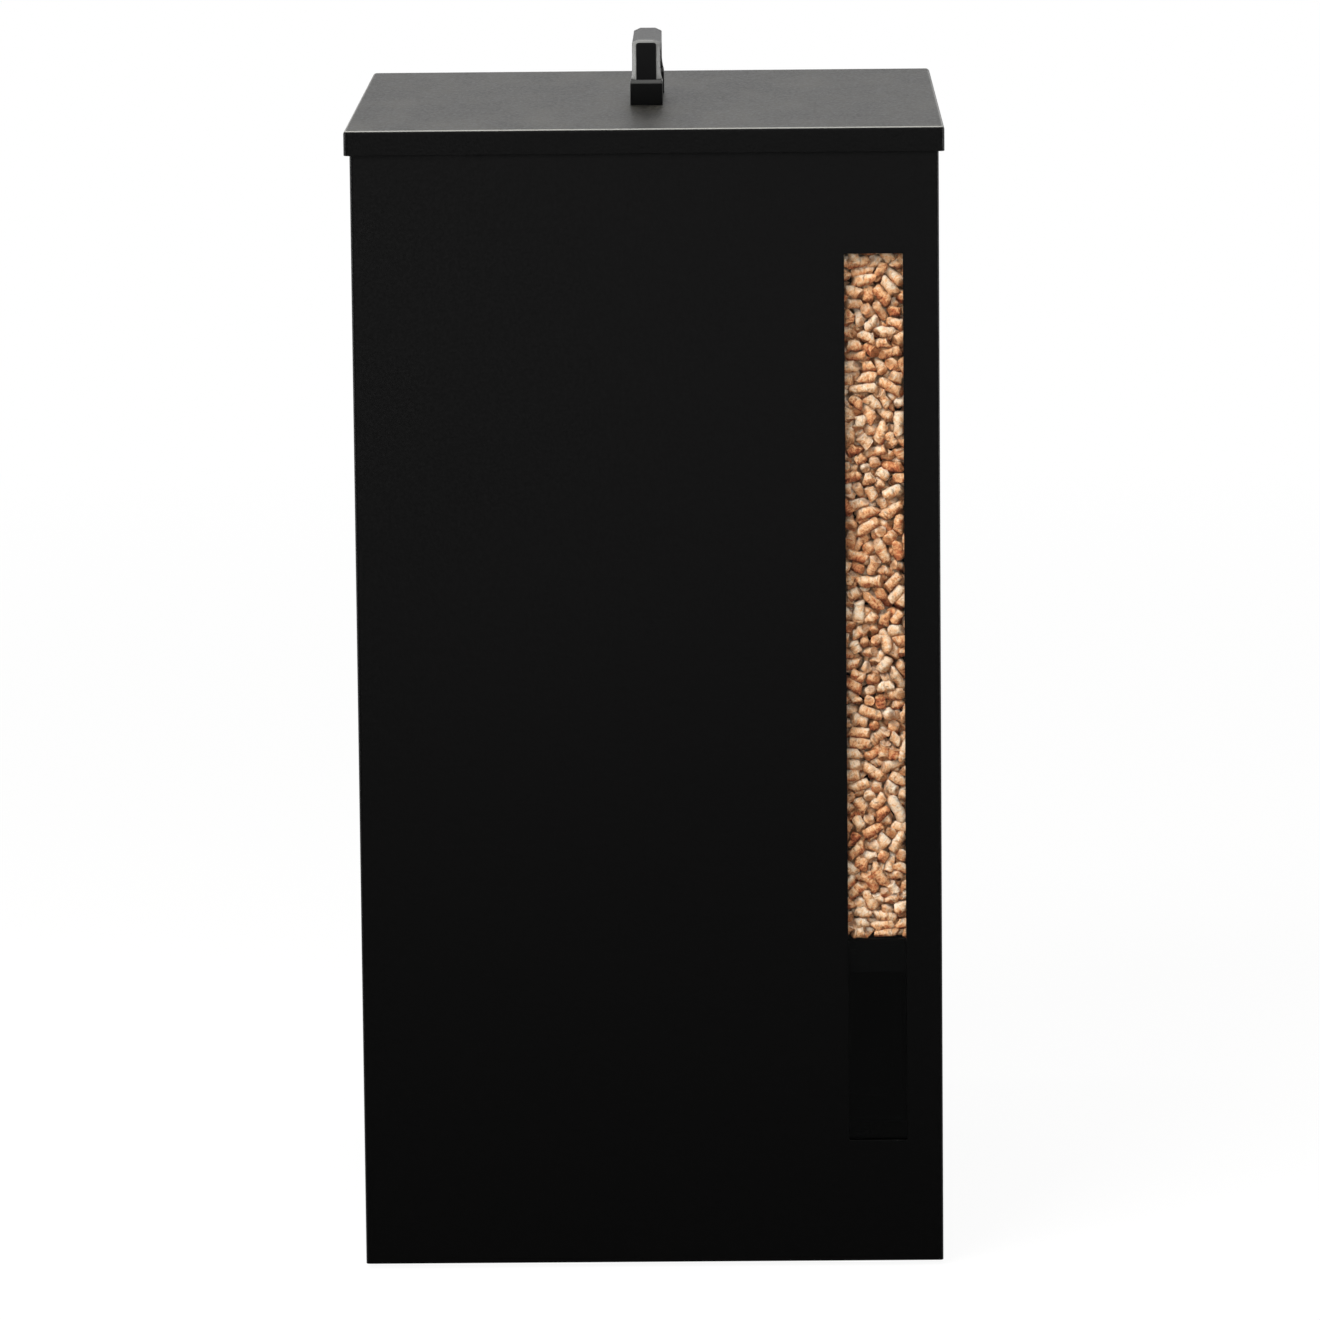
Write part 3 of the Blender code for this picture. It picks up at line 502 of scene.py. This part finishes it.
def bowGrip():
    # a chamfered section carried along an upturned U: each station has an outer and an inner point, which run
    # straight up the legs and, at a corner, out along rays from the inner corner's centre
    low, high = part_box("handle_bow")
    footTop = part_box("handle_collar_front")[1].z
    half = high.y
    reach = grip["inner"] + grip["thick"]
    centreY = half - reach
    centreZ = high.z - reach
    # one leg from its end upwards, with the wider heel that stands on the foot
    heel = footTop + grip["flareHeight"] * np.array(grip["heelSteps"])
    legZ = np.concatenate([[low.z, footTop], heel])
    legOuter = np.stack([np.full(len(legZ), -half), legZ], -1)
    legInner = np.stack([np.full(len(legZ), -half + grip["thick"]), legZ], -1)
    # corner rays: a square of side reach, with the tip rounded by a circle
    angle = np.radians(grip["rayDegrees"])
    ray = np.stack([np.cos(angle), np.sin(angle)], -1)
    flat = reach / np.abs(ray).max(1)
    tip = np.array([-1, 1]) * (reach - grip["outer"])
    along = ray @ tip
    curved = along + np.sqrt(np.maximum(along ** 2 - tip @ tip + grip["outer"] ** 2, 0))
    inTip = np.all(np.abs(ray * flat[:, None]) > reach - grip["outer"], 1)
    far = np.where(inTip, curved, flat)
    centre = np.array([-centreY, centreZ])
    outer = np.concatenate([legOuter, centre + ray * far[:, None]])
    inner = np.concatenate([legInner, centre + ray * grip["inner"]])
    mirror = np.array([-1, 1])
    outer = np.concatenate([outer, outer[::-1] * mirror])
    inner = np.concatenate([inner, inner[::-1] * mirror])
    # half width: the heel grows with the square of the way down to the foot, and ends on top of it
    down = np.clip(1 - (outer[:, 1] - footTop) / grip["flareHeight"], 0, 1)
    wide = high.x + np.where(outer[:, 1] > footTop, grip["flare"] * down ** 2, 0)
    span = np.linalg.norm(outer - inner, axis=1)
    way = (inner - outer) / span[:, None]
    c, b, u, bulge = grip["chamfer"], grip["blend"], grip["under"], grip["under"] * grip["underBulge"]
    # the flat outer face of a leg ends in two round corners at the top: inset = r - sqrt(r^2 - way up^2)
    faceTop = high.z - grip["outer"]
    wayUp = np.clip((outer[:, 1] - faceTop) / grip["faceCorner"] + 1, 0, 1)
    onLeg = np.abs(outer[:, 1] - faceTop) < grip["faceCorner"] + grip["outer"] / 2
    flatHalf = high.x - c - np.where(onLeg, grip["faceCorner"] * (1 - np.sqrt(1 - wayUp ** 2)), 0)
    nib = b * math.sqrt(0.5)
    one = np.ones_like(wide)
    # right half of the section from the middle of the outer face round to the inner face, as (across, deep)
    across = [flatHalf - b, flatHalf + nib, wide - nib, wide, wide, wide - bulge, wide - u]
    deep = [0 * one, nib * one, (c - nib) * one, (c + b) * one, span - u, span - bulge, span]
    across = np.stack(across + [-a for a in across[::-1]], -1)
    deep = np.stack(deep + deep[::-1], -1)
    place = outer[:, None] + way[:, None] * deep[..., None]
    points = np.concatenate([across[..., None], place], -1)
    piece = addPiece("bow_grip", points, capped(points), nylon, "lid", ["handle_bow"])
    # painted highlight and wear: the chamfers of both legs; painted highlight only: the outer face where it
    # turns the corner
    legs = np.concatenate([np.ones(len(legZ)), np.array(grip["rayDegrees"]) > grip["rubbedAndHighlightAbove"]])
    corner = np.concatenate([np.zeros(len(legZ)), inTip])
    rubbedAndHighlight = np.zeros(points.shape[:2])
    rubbedAndHighlight[:, [1, 2, -2, -3]] = np.concatenate([legs, legs[::-1]])[:, None]
    rubbedAndHighlight[:, [0, -1]] = np.concatenate([corner, corner[::-1]])[:, None]
    paint(piece, "rubbedAndHighlight", rubbedAndHighlight)
    evenShading(piece, grip["shadeWeight"])


bowGrip()

foot = {"corner": 0.0012, "cornerSteps": 4, "roundHeight": 0.0026, "sideRound": 0.0007, "innerRound": 0.0010,
        # rubbed: the share of painted highlight on the upper round
        "roundSteps": 6, "gap": 0.0003, "rubbedAndHighlight": 0.3}


def legFoot(name, node, side):
    # a round-cornered loop carried up and drawn in at the top by inset = r (1 - cos(t)), with more on the
    # inner face, while it rises by h sin(t); then across to the leg and down again inside, so that the
    # block is a closed ring
    low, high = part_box(node)
    bowLow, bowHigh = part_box("handle_bow")
    legOut = bowHigh.y
    legIn = bowHigh.y - grip["thick"]
    turn = np.linspace(0, math.pi / 2, foot["roundSteps"] + 1)
    draw = 1 - np.cos(turn)
    rise = high.z - foot["roundHeight"] * (1 - np.sin(turn))
    outerY = max(abs(low.y), abs(high.y))
    innerY = min(abs(low.y), abs(high.y))
    loops = [roundRect((low.x, innerY), (high.x, outerY), foot["corner"], foot["cornerSteps"])]
    heights = [low.z]
    for d, z in zip(draw, rise):
        loops.append(roundRect((low.x + d * foot["sideRound"], innerY + d * foot["innerRound"]),
                               (high.x - d * foot["sideRound"], outerY - d * foot["sideRound"]),
                               foot["corner"], foot["cornerSteps"]))
        heights.append(z)
    gap = foot["gap"]
    legLoop = roundRect((bowLow.x - gap, legIn - gap), (bowHigh.x + gap, legOut + gap), foot["corner"],
                        foot["cornerSteps"])
    loops += [legLoop, legLoop]
    heights += [high.z, low.z]
    points = loopStack(loops, heights)
    if side < 0:  # the front foot is the rear one turned half round
        points[..., :2] *= -1
    faces = gridFaces(len(loops), points.shape[1], True, True)
    piece = addPiece(name, points, faces, nylon, "lid", [node])
    # painted highlight: a pale line across the upper round
    rubbedAndHighlight = np.zeros(points.shape[:2])
    rubbedAndHighlight[2:foot["roundSteps"]] = foot["rubbedAndHighlight"]
    paint(piece, "rubbedAndHighlight", rubbedAndHighlight)
    evenShading(piece, grip["shadeWeight"])


legFoot("grip_foot_front", "handle_collar_front", -1)
legFoot("grip_foot_rear", "handle_collar_rear", 1)
print("handle made")


def turned(profile, sides, sixSided=()):
    # (radius, height) pairs turned about the axis; rows named in sixSided follow a hexagon of that half
    # width
    angle = np.linspace(0, 2 * math.pi, sides, endpoint=False)
    profile = np.asarray(profile, float)
    radius = np.repeat(profile[:, :1], sides, 1)
    hexagon = 1 / np.cos((angle + math.pi / 6) % (math.pi / 3) - math.pi / 6)
    for row in sixSided:
        radius[row] *= hexagon
    height = np.repeat(profile[:, 1:], sides, 1)
    return np.stack([radius * np.cos(angle), radius * np.sin(angle), height], -1)


def addTurned(name, points, places, material, body, stands, sharp=38):
    # the same turned shape at several places, in one mesh
    count = points.shape[0] * points.shape[1]
    base = capped(points)
    faces = [f + count * k for k in range(len(places)) for f in base]
    moved = points.reshape(1, -1, 3) + np.asarray(places)[:, None]
    addPiece(name, moved, faces, material, body, stands, sharp)


rivet = {
    "head": 0.0040, "rim": 0.0002, "dome": 0.0013, "pin": 0.0011, "hole": 0.0016, "lift": 0.0003, "sides": 24,
    # (radius, height) of the bulb inside, then shares of head radius and dome, then shares of pin and dome
    "bulb": [(0.0018, -0.0055), (0.0024, -0.0045), (0.0024, -0.0030), (0.0016, -0.0030)],
    "domeLine": [(0.95, 0.42), (0.80, 0.70), (0.58, 0.92), (0.40, 1.0), (0.33, 0.97)],
    "pinLine": [(1.1, 0.72), (1.0, 0.70), (0.85, 0.86), (0.5, 0.9)],
}


def backRivets():
    # blind rivet from its bulb inside to the domed head, with the snapped pin sunk in the middle of the head
    names = ["back_rivet_%d" % k for k in range(1, 9)]
    boxes = [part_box(n) for n in names]
    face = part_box("back_panel")[1].y
    head, dome, lift = rivet["head"], rivet["dome"], rivet["lift"]
    profile = [*rivet["bulb"], (rivet["hole"], lift), (head, lift), (head, lift + rivet["rim"])]
    profile += [(head * r, lift + dome * z) for r, z in rivet["domeLine"]]
    profile += [(rivet["pin"] * r, lift + dome * z) for r, z in rivet["pinLine"]]
    points = turned(profile, rivet["sides"])
    points = np.stack([points[..., 0], points[..., 2], -points[..., 1]], -1)
    places = [((lo.x + hi.x) / 2, face, (lo.z + hi.z) / 2) for lo, hi in boxes]
    addTurned("back_rivets", points, places, steel, "bin", names)


backRivets()

glide = {
    "radius": 0.0140, "sides": 40, "tip": 0.0028,
    # share of the radius and height, then (radius, height)
    "tread": [(0.55, 0.0), (0.86, 0.0), (0.94, 0.0002), (0.985, 0.0007), (1.0, 0.0013), (1.0, 0.0022),
              (0.985, 0.0027)],
    "shank": [(0.0040, 0.0027), (0.0040, 0.0045), (0.0052, 0.0045), (0.0050, 0.0050)],
}


def footGlides():
    # flat moulded button with a rounded tread, a shank through the base and a barbed tip
    names = ["glide_front_left", "glide_front_right", "glide_rear_left", "glide_rear_right"]
    boxes = [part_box(n) for n in names]
    top = boxes[0][1].z
    profile = [(glide["radius"] * r, z) for r, z in glide["tread"]] + glide["shank"] + [(glide["tip"], top)]
    places = [((lo.x + hi.x) / 2, (lo.y + hi.y) / 2, 0.0) for lo, hi in boxes]
    points = turned(profile, glide["sides"])
    addTurned("floor_glides", points, places, nylon, "bin", names)


footGlides()

screw = {
    "socket": 0.0016, "sides": 36, "shank": 0.0025, "headHeight": 0.0030, "tip": (0.0019, 0.0006),
    # shares of the socket's width, then of the head's radius, with heights above the head's lower face
    "socketLine": [(1.0, 0.0019), (1.0, 0.0001), (1.25, 0.0)],
    "headLine": [(0.70, 0.0), (0.88, 0.0005), (0.98, 0.0013), (1.0, 0.0020)],
}


def handleScrews():
    # pan head with a six-sided socket underneath, and a shank up into the leg
    names = ["handle_screw_front", "handle_screw_rear"]
    boxes = [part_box(n) for n in names]
    low, high = boxes[0]
    head = (high.x - low.x) / 2
    headTop = low.z + screw["headHeight"]
    tipRadius, tipHeight = screw["tip"]
    profile = [(screw["socket"] * r, low.z + z) for r, z in screw["socketLine"]]
    profile += [(head * r, low.z + z) for r, z in screw["headLine"]]
    profile += [(head, headTop), (screw["shank"], headTop), (screw["shank"], high.z - tipHeight),
                (tipRadius, high.z)]
    places = [(0.0, (lo.y + hi.y) / 2, 0.0) for lo, hi in boxes]
    points = turned(profile, screw["sides"], (0, 1))
    addTurned("handle_screws", points, places, steel, "lid", names)


handleScrews()
print("rivets, glides and screws turned")

rod = {
    "radiusMm": 3.35, "lengthsMm": (6.5, 15.0), "seed": 7,
    # packing: how flat the rods lie, push and sink of each round, how often near pairs are listed
    "lie": (1.0, 0.8, 0.65), "endShare": 0.55, "push": 0.62, "sinkMm": 0.10, "pairEvery": 8, "pairMm": 17.0,
    "block": 400,
    # form and tone: shares of the radius, and the tone's middle, spread and limits
    "thickness": (0.88, 1.05), "ringNoise": 0.08, "skinNoise": 0.10, "ends": (0.40, 0.88), "slant": 0.75,
    "evenTo": 0.86, "sharp": 70, "tone": (0.55, 0.11), "toneLimits": (0.20, 0.76), "mapMm": 400,
}


def nearPairs(middle, limit):  # index pairs of rods whose middles are close, found in blocks
    found = []
    for start in range(0, len(middle), rod["block"]):
        block = middle[start:start + rod["block"]]
        far = np.linalg.norm(block[:, None] - middle[None], axis=2)
        i, j = np.nonzero(far < limit)
        keep = i + start < j
        found.append(np.stack([i[keep] + start, j[keep]], -1))
    return np.concatenate(found).T


def packRods(count, low, high, roof, bed, rounds, chance):
    # rods thrown into a box (mm) and shaken: in each round they sink a little, and where two are nearer
    # than two radii the nearest points of both are pushed apart; walls, bed and roof hold the ends back
    middle = chance.uniform(low, high, (count, 3))
    way = chance.normal(size=(count, 3)) * rod["lie"]
    way /= np.linalg.norm(way, axis=1)[:, None]
    length = chance.uniform(*rod["lengthsMm"], count)
    r = rod["radiusMm"]
    half = (length / 2 - r * rod["endShare"])[:, None]
    for turn in range(rounds):
        if turn % rod["pairEvery"] == 0:
            i, j = nearPairs(middle, rod["pairMm"])
        a, b = middle - way * half, middle + way * half
        a[:, 2] -= rod["sinkMm"]
        b[:, 2] -= rod["sinkMm"]
        # nearest points of two straight lines, held within both rods
        d1, d2, gap = b[i] - a[i], b[j] - a[j], a[i] - a[j]
        s11, s22, s12 = (d1 * d1).sum(1), (d2 * d2).sum(1), (d1 * d2).sum(1)
        g1, g2 = (d1 * gap).sum(1), (d2 * gap).sum(1)
        s = np.clip((s12 * g2 - g1 * s22) / np.maximum(s11 * s22 - s12 ** 2, 1e-9), 0, 1)
        t = np.clip((s12 * s + g2) / s22, 0, 1)
        s = np.clip((s12 * t - g1) / s11, 0, 1)
        apart = gap + d1 * s[:, None] - d2 * t[:, None]
        dist = np.linalg.norm(apart, axis=1) + 1e-9
        push = apart * (np.clip(2 * r - dist, 0, None) / dist * rod["push"])[:, None]
        for ends, index, share in ((a, i, 1 - s), (b, i, s), (a, j, t - 1), (b, j, -t)):
            np.add.at(ends, index, push * share[:, None])
        for ends in (a, b):
            ends[:, :2] = np.clip(ends[:, :2], np.add(low[:2], r), np.subtract(high[:2], r))
            ends[:, 2] = np.clip(ends[:, 2], bed(ends) + r, roof(ends) - r)
        middle = (a + b) / 2
        way = (b - a) / np.linalg.norm(b - a, axis=1)[:, None]
    return middle, way, length


def rodMesh(name, packed, sides, rings, chance):
    # each rod is a grid of angle and way along; rings wander in radius, both ends are slanted breaks
    middle, way, length = packed
    count = len(middle)
    # two directions square to the rod, found with an axis that it doesn't run along
    helper = np.where(np.abs(way[:, 2:]) < 0.8, [[0.0, 0.0, 1.0]], [[1.0, 0.0, 0.0]])
    side = np.cross(way, helper)
    side /= np.linalg.norm(side, axis=1)[:, None]
    up = np.cross(way, side)
    angle = np.linspace(0, 2 * math.pi, sides, endpoint=False)
    t = np.concatenate([[-1.0], np.linspace(-rod["evenTo"], rod["evenTo"], rings - 2), [1.0]])
    radius = rod["radiusMm"] * chance.uniform(*rod["thickness"], (count, 1, 1))
    radius = radius * (1 + chance.normal(0, rod["ringNoise"], (count, rings, 1))
                       + chance.normal(0, rod["skinNoise"], (count, rings, sides)))
    radius[:, [0, -1]] *= chance.uniform(*rod["ends"], (count, 2, 1))
    slant = chance.uniform(0.0, rod["slant"], (count, 2, 1)) * rod["radiusMm"]
    turnTo = chance.uniform(0, 2 * math.pi, (count, 2, 1))
    shift = slant * np.cos(angle - turnTo)
    along = np.repeat((t * length[:, None] / 2)[:, :, None], sides, 2)
    share = np.clip(np.abs(t) * 2 - 1, 0, 1)[None, :, None]
    along = along + np.where(t[None, :, None] < 0, shift[:, :1], shift[:, 1:]) * share
    spot = (middle[:, None, None] + along[..., None] * way[:, None, None]
            + (radius * np.cos(angle))[..., None] * side[:, None, None]
            + (radius * np.sin(angle))[..., None] * up[:, None, None])
    base = gridFaces(rings, sides, False, True)
    size = rings * sides
    quads = (base[None] + np.arange(count)[:, None, None] * size).reshape(-1, 4)
    lowCap = np.arange(sides)[::-1][None] + np.arange(count)[:, None] * size
    highCap = np.arange(sides)[None] + size - sides + np.arange(count)[:, None] * size
    faces = [*quads.tolist(), *lowCap.tolist(), *highCap.tolist()]
    piece = addPiece(name, spot / 1000, faces, pellet, "bin", (), rod["sharp"])
    tones = np.clip(chance.normal(*rod["tone"], count), *rod["toneLimits"])
    paint(piece, "tone", np.repeat(tones, size))
    paint(piece, "torn", np.tile(np.repeat(np.abs(t) == 1, sides), count))
    # map in mm: round the rod and along it, each rod on its own stretch of the pattern
    ringOf, sideOf = base // sides, base % sides
    # corners 1 and 2 of a quad are one side further on, so at the seam they end the turn
    sideOf[:, 1:3] = np.where(sideOf[:, 1:3] == 0, sides, sideOf[:, 1:3])
    u = sideOf * (2 * math.pi * rod["radiusMm"] / sides)
    v = along[:, ringOf, 0]
    offset = chance.uniform(0, rod["mapMm"], (count, 1, 1, 2))
    sideMap = np.stack([np.broadcast_to(u, v.shape), v], -1) + offset
    ring = rod["radiusMm"] * np.stack([np.cos(angle), np.sin(angle)], -1)
    capMap = np.broadcast_to(ring, (count, sides, 2)) + offset[:, 0]
    flat = np.concatenate([sideMap.reshape(-1), capMap[:, ::-1].reshape(-1), capMap.reshape(-1)])
    piece.data.uv_layers.new(name="rod").data.foreach_set("uv", flat.astype(np.float32))


heap = {
    "crownMm": 8.0,
    "coreGapMm": 18.0, "coreInsetsMm": [0.0, 0.0, 0.0, 12.0, 40.0, 80.0, 120.0], "coreCornerMm": 4.0,
    "coreCornerSteps": 3, "coreFootMm": 5.0, "coreLapMm": 4.0, "coreSharp": 50,
    "windowDepthMm": 24.0, "windowMarginMm": 7.0, "windowFill": 0.60, "windowRounds": 140,
    "windowSides": 10, "windowRings": 6,
    "topLayerMm": 15.0, "topFill": 0.58, "topRounds": 70, "topSides": 7, "topRings": 4,
}


def pelletHeap():
    # core with a crowned top, near black as painted shade, a loose layer over it and a packed layer behind
    # the window
    low, high = [np.array(c) * 1000 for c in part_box("pellet_fill")]
    level = high[2] - heap["crownMm"]

    def surface(p):  # crown of the heap: one hump of sines over the plan
        u = np.clip((p[:, 0] - low[0]) / (high[0] - low[0]), 0, 1)
        v = np.clip((p[:, 1] - low[1]) / (high[1] - low[1]), 0, 1)
        return level + heap["crownMm"] * np.sin(math.pi * u) * np.sin(math.pi * v)

    def flatLevel(p):
        return np.full(len(p), level)

    def flatBed(p):
        return np.full(len(p), low[2])

    def topBed(p):
        return surface(p) - heap["topLayerMm"]

    # the core's two lowest loops are flat; the others follow the crown, each further in
    loops = [roundRect((low[0] + d, low[1] + heap["coreGapMm"] + d), (high[0] - d, high[1] - d),
                       heap["coreCornerMm"], heap["coreCornerSteps"]) for d in heap["coreInsetsMm"]]
    points = loopStack(loops, np.zeros(len(loops)))
    points[0, :, 2] = low[2]
    points[1, :, 2] = low[2] + heap["coreFootMm"]
    points[2:, :, 2] = [topBed(loop) + heap["coreLapMm"] for loop in loops[2:]]
    addPiece("pellet_core", points / 1000, capped(points), heapShadeMaterial, "bin", ["pellet_fill"],
             heap["coreSharp"])
    chance = np.random.default_rng(rod["seed"])

    boxLow = np.array([slotX[0] * 1000 - heap["windowMarginMm"], low[1], low[2]])
    boxHigh = np.array([slotX[1] * 1000 + heap["windowMarginMm"], low[1] + heap["windowDepthMm"], level])
    room = np.prod(boxHigh - boxLow)
    one = math.pi * rod["radiusMm"] ** 2 * np.mean(rod["lengthsMm"])
    count = int(room * heap["windowFill"] / one)
    packed = packRods(count, boxLow, boxHigh, flatLevel, flatBed, heap["windowRounds"], chance)
    rodMesh("window_pellets", packed, heap["windowSides"], heap["windowRings"], chance)
    print("window pellets:", count)

    bedLow = np.array([low[0], low[1], level - heap["topLayerMm"]])
    bedHigh = np.array([high[0], high[1], level + heap["crownMm"]])
    room = (bedHigh[0] - bedLow[0]) * (bedHigh[1] - bedLow[1]) * heap["topLayerMm"]
    count = int(room * heap["topFill"] / one)
    packed = packRods(count, bedLow, bedHigh, surface, topBed, heap["topRounds"], chance)
    rodMesh("top_pellets", packed, heap["topSides"], heap["topRings"], chance)
    print("top pellets:", count)


pelletHeap()

finishes = {  # material, and width of the soft edge where the solid shows
    "back_panel": (coatBody, 0.0003), "base_pan": (coatBody, 0), "rim_frame": (coatInside, 0.0004),
    "rear_corner_angle_left": (coatInside, 0), "rear_corner_angle_right": (coatInside, 0),
    "floor_shelf": (coatInside, 0), "shelf_rail_left": (coatInside, 0), "shelf_rail_right": (coatInside, 0),
    "window_gasket": (seal, 0), "window_pane": (clear, 0), "window_frame": (blackSteel, 0),
    "handle_backing_plate": (steel, 0.0003), "handle_washer_front": (steel, 0.0002),
    "handle_washer_rear": (steel, 0.0002),
}
for k in range(1, 9):
    finishes["frame_stud_%d" % k] = (blackSteel, 0)
    finishes["frame_nut_%d" % k] = (blackSteel, 0.0003)


def dressSolids():  # CAD solids that keep their shape: own finish, and soft edges on the ones that show
    for name, (material, edge) in finishes.items():
        solid = nodes[name]
        solid.data.materials.clear()
        solid.data.materials.append(material)
        if edge:
            weld = solid.modifiers.new("weld", "WELD")
            weld.merge_threshold = edges["weld"]  # the solids come as loose triangles
            softEdges(solid, edge, 2)
    nodes["window_pane"].visible_shadow = False  # light reaches the pellets through the clear pane


dressSolids()
print("solids dressed:", len(finishes))

camera = {"place": (0.0627, -5.0738, 1.1385), "pitch": 0.1559, "yaw": -0.0115, "roll": -0.0097,
          "focalPixels": 8232.5, "framePixels": 1320, "sensorMm": 36, "clipEnd": 120}


def addCamera():
    data = bpy.data.cameras.new("camera")
    data.sensor_width = camera["sensorMm"]
    data.lens = camera["focalPixels"] / camera["framePixels"] * data.sensor_width
    data.clip_end = camera["clipEnd"]
    pitch, yaw, roll = camera["pitch"], camera["yaw"], camera["roll"]
    forward = np.array([math.sin(yaw) * math.cos(pitch), math.cos(yaw) * math.cos(pitch), -math.sin(pitch)])
    side = np.array([math.cos(yaw), -math.sin(yaw), 0.0])
    up = np.cross(side, forward)
    turnedSide = side * math.cos(roll) + up * math.sin(roll)
    turnedUp = up * math.cos(roll) - side * math.sin(roll)
    matrix = np.eye(4)
    matrix[:3] = np.stack([turnedSide, turnedUp, -forward, camera["place"]], -1)
    made = bpy.data.objects.new("camera", data)
    made.matrix_world = Matrix(matrix.tolist())
    bpy.context.scene.collection.objects.link(made)
    bpy.context.scene.camera = made


addCamera()

floor = {"half": 40.0, "lines": 9, "height": -0.0002, "colour": "#f6f5f3", "roughness": 0.9, "specular": 0.1,
         "white": 0.93, "shadeFrom": 0.8, "whiteFrom": 3.5}


def addFloor():
    # flat pale sheet; to the camera it is mostly plain white, so that only a soft shadow is left on it, and
    # reflections don't see it
    line = np.linspace(-floor["half"], floor["half"], floor["lines"])
    across, deep = np.meshgrid(line, line)
    points = np.stack([across, deep, np.full_like(across, floor["height"])], -1)
    mesh = bpy.data.meshes.new("floor")
    mesh.from_pydata(points.reshape(-1, 3).tolist(), [], gridFaces(*across.shape).tolist())
    made = bpy.data.objects.new("floor", mesh)
    bpy.context.scene.collection.objects.link(made)
    material, tree, shader = newMaterial("floor_paper")
    plug(shader, Base_Color=linear(floor["colour"]), Roughness=floor["roughness"],
         Specular_IOR_Level=floor["specular"])
    light = addNode(tree, "ShaderNodeEmission", Strength=1.0)
    place = addNode(tree, "ShaderNodeTexCoord").outputs["Object"]
    away = addNode(tree, "ShaderNodeVectorMath", {"operation": "LENGTH"}, i0=place).outputs["Value"]
    white = addNode(tree, "ShaderNodeMapRange", i0=away, i1=floor["shadeFrom"], i2=floor["whiteFrom"],
                    i3=floor["white"], i4=1.0).outputs["Result"]
    seen = addNode(tree, "ShaderNodeLightPath").outputs["Is Camera Ray"]
    share = addNode(tree, "ShaderNodeMath", {"operation": "MULTIPLY"}, i0=seen, i1=white).outputs[0]
    both = addNode(tree, "ShaderNodeMixShader", i0=share, i1=shader.outputs[0], i2=light.outputs[0])
    plug(tree.nodes["Material Output"], Surface=both.outputs[0])
    mesh.materials.append(material)
    made.visible_glossy = False
    made.visible_transmission = False


addFloor()

ambient = {"diffuse": 0.36, "front": 0.04, "turn": 0.25}


def addWorld():
    # white to the camera, even and dimmer to matt surfaces; reflections see it white behind the bin and
    # nearly dark in front of it
    world = bpy.data.worlds.new("studio")
    bpy.context.scene.world = world
    world.use_nodes = True
    tree = world.node_tree
    path = addNode(tree, "ShaderNodeLightPath")
    way = addNode(tree, "ShaderNodeTexCoord").outputs["Generated"]
    way = addNode(tree, "ShaderNodeSeparateXYZ", Vector=way).outputs["Y"]
    behind = addNode(tree, "ShaderNodeMapRange", {"interpolation_type": "SMOOTHSTEP"}, i0=way,
                     i1=-ambient["turn"], i2=ambient["turn"], i3=ambient["front"], i4=1.0).outputs["Result"]
    matt = addNode(tree, "ShaderNodeMath", {"operation": "GREATER_THAN"}, i0=path.outputs["Diffuse Depth"],
                   i1=0.5).outputs[0]
    level = addNode(tree, "ShaderNodeMix", {"data_type": "FLOAT"}, i0=matt, i2=behind,
                    i3=ambient["diffuse"]).outputs[0]
    level = addNode(tree, "ShaderNodeMix", {"data_type": "FLOAT"}, i0=path.outputs["Is Camera Ray"], i2=level,
                    i3=1.0).outputs[0]
    plug(tree.nodes["Background"], Color=(1, 1, 1, 1), Strength=level)


addWorld()

lamps = [  # gloss: seen in reflections and through the pane; matt: lights matt surfaces
    {"name": "top_strip", "place": (0.0, -0.1, 2.2), "aim": (0.0, -0.1, 0.6), "size": (1.5, 0.08),
     "watts": 11},
    {"name": "front_softbox", "place": (-1.3, -2.2, 2.6), "aim": (0.0, -0.1, 0.4), "size": (1.8, 1.0),
     "watts": 130, "gloss": False},
    {"name": "front_fill", "place": (0.3, -3.0, 0.7), "aim": (0.0, -0.1, 0.4), "size": (1.5, 1.5),
     "watts": 55, "gloss": False},
    {"name": "left_softbox", "place": (-1.8, -0.1, 0.55), "aim": (0.0, -0.1, 0.55), "size": (0.6, 0.7),
     "watts": 10},
    {"name": "right_softbox", "place": (1.8, -0.1, 0.55), "aim": (0.0, -0.1, 0.55), "size": (0.6, 0.7),
     "watts": 10},
    {"name": "high_card", "place": (0.0, -1.15, 1.20), "aim": (0.0, -0.2, 0.6), "size": (1.3, 0.45),
     "watts": 3.2, "matt": False},
    # the two low cards leave a gap between them, which is what the window's pane mirrors
    {"name": "low_card_left", "place": (-0.35, -1.55, 0.46), "aim": (-0.35, -0.2, 0.46), "size": (0.8, 0.5),
     "watts": 1.55, "matt": False},
    {"name": "low_card_right", "place": (0.60, -1.55, 0.46), "aim": (0.60, -0.2, 0.46), "size": (0.7, 0.5),
     "watts": 1.35, "matt": False},
]


def addLamps():
    for lamp in lamps:
        data = bpy.data.lights.new(lamp["name"], "AREA")
        data.shape = "RECTANGLE"
        data.size, data.size_y = lamp["size"]
        data.energy = lamp["watts"]
        made = bpy.data.objects.new(lamp["name"], data)
        made.location = lamp["place"]
        way = Vector(lamp["aim"]) - Vector(lamp["place"])
        made.rotation_mode = "QUATERNION"
        made.rotation_quaternion = way.to_track_quat("-Z", "Y")
        made.visible_camera = False
        made.visible_diffuse = lamp.get("matt", True)
        made.visible_glossy = lamp.get("gloss", True)
        made.visible_transmission = lamp.get("gloss", True)
        bpy.context.scene.collection.objects.link(made)


addLamps()
print("stage set:", len(lamps), "lamps")

bpy.context.scene.view_settings.view_transform = "Standard"
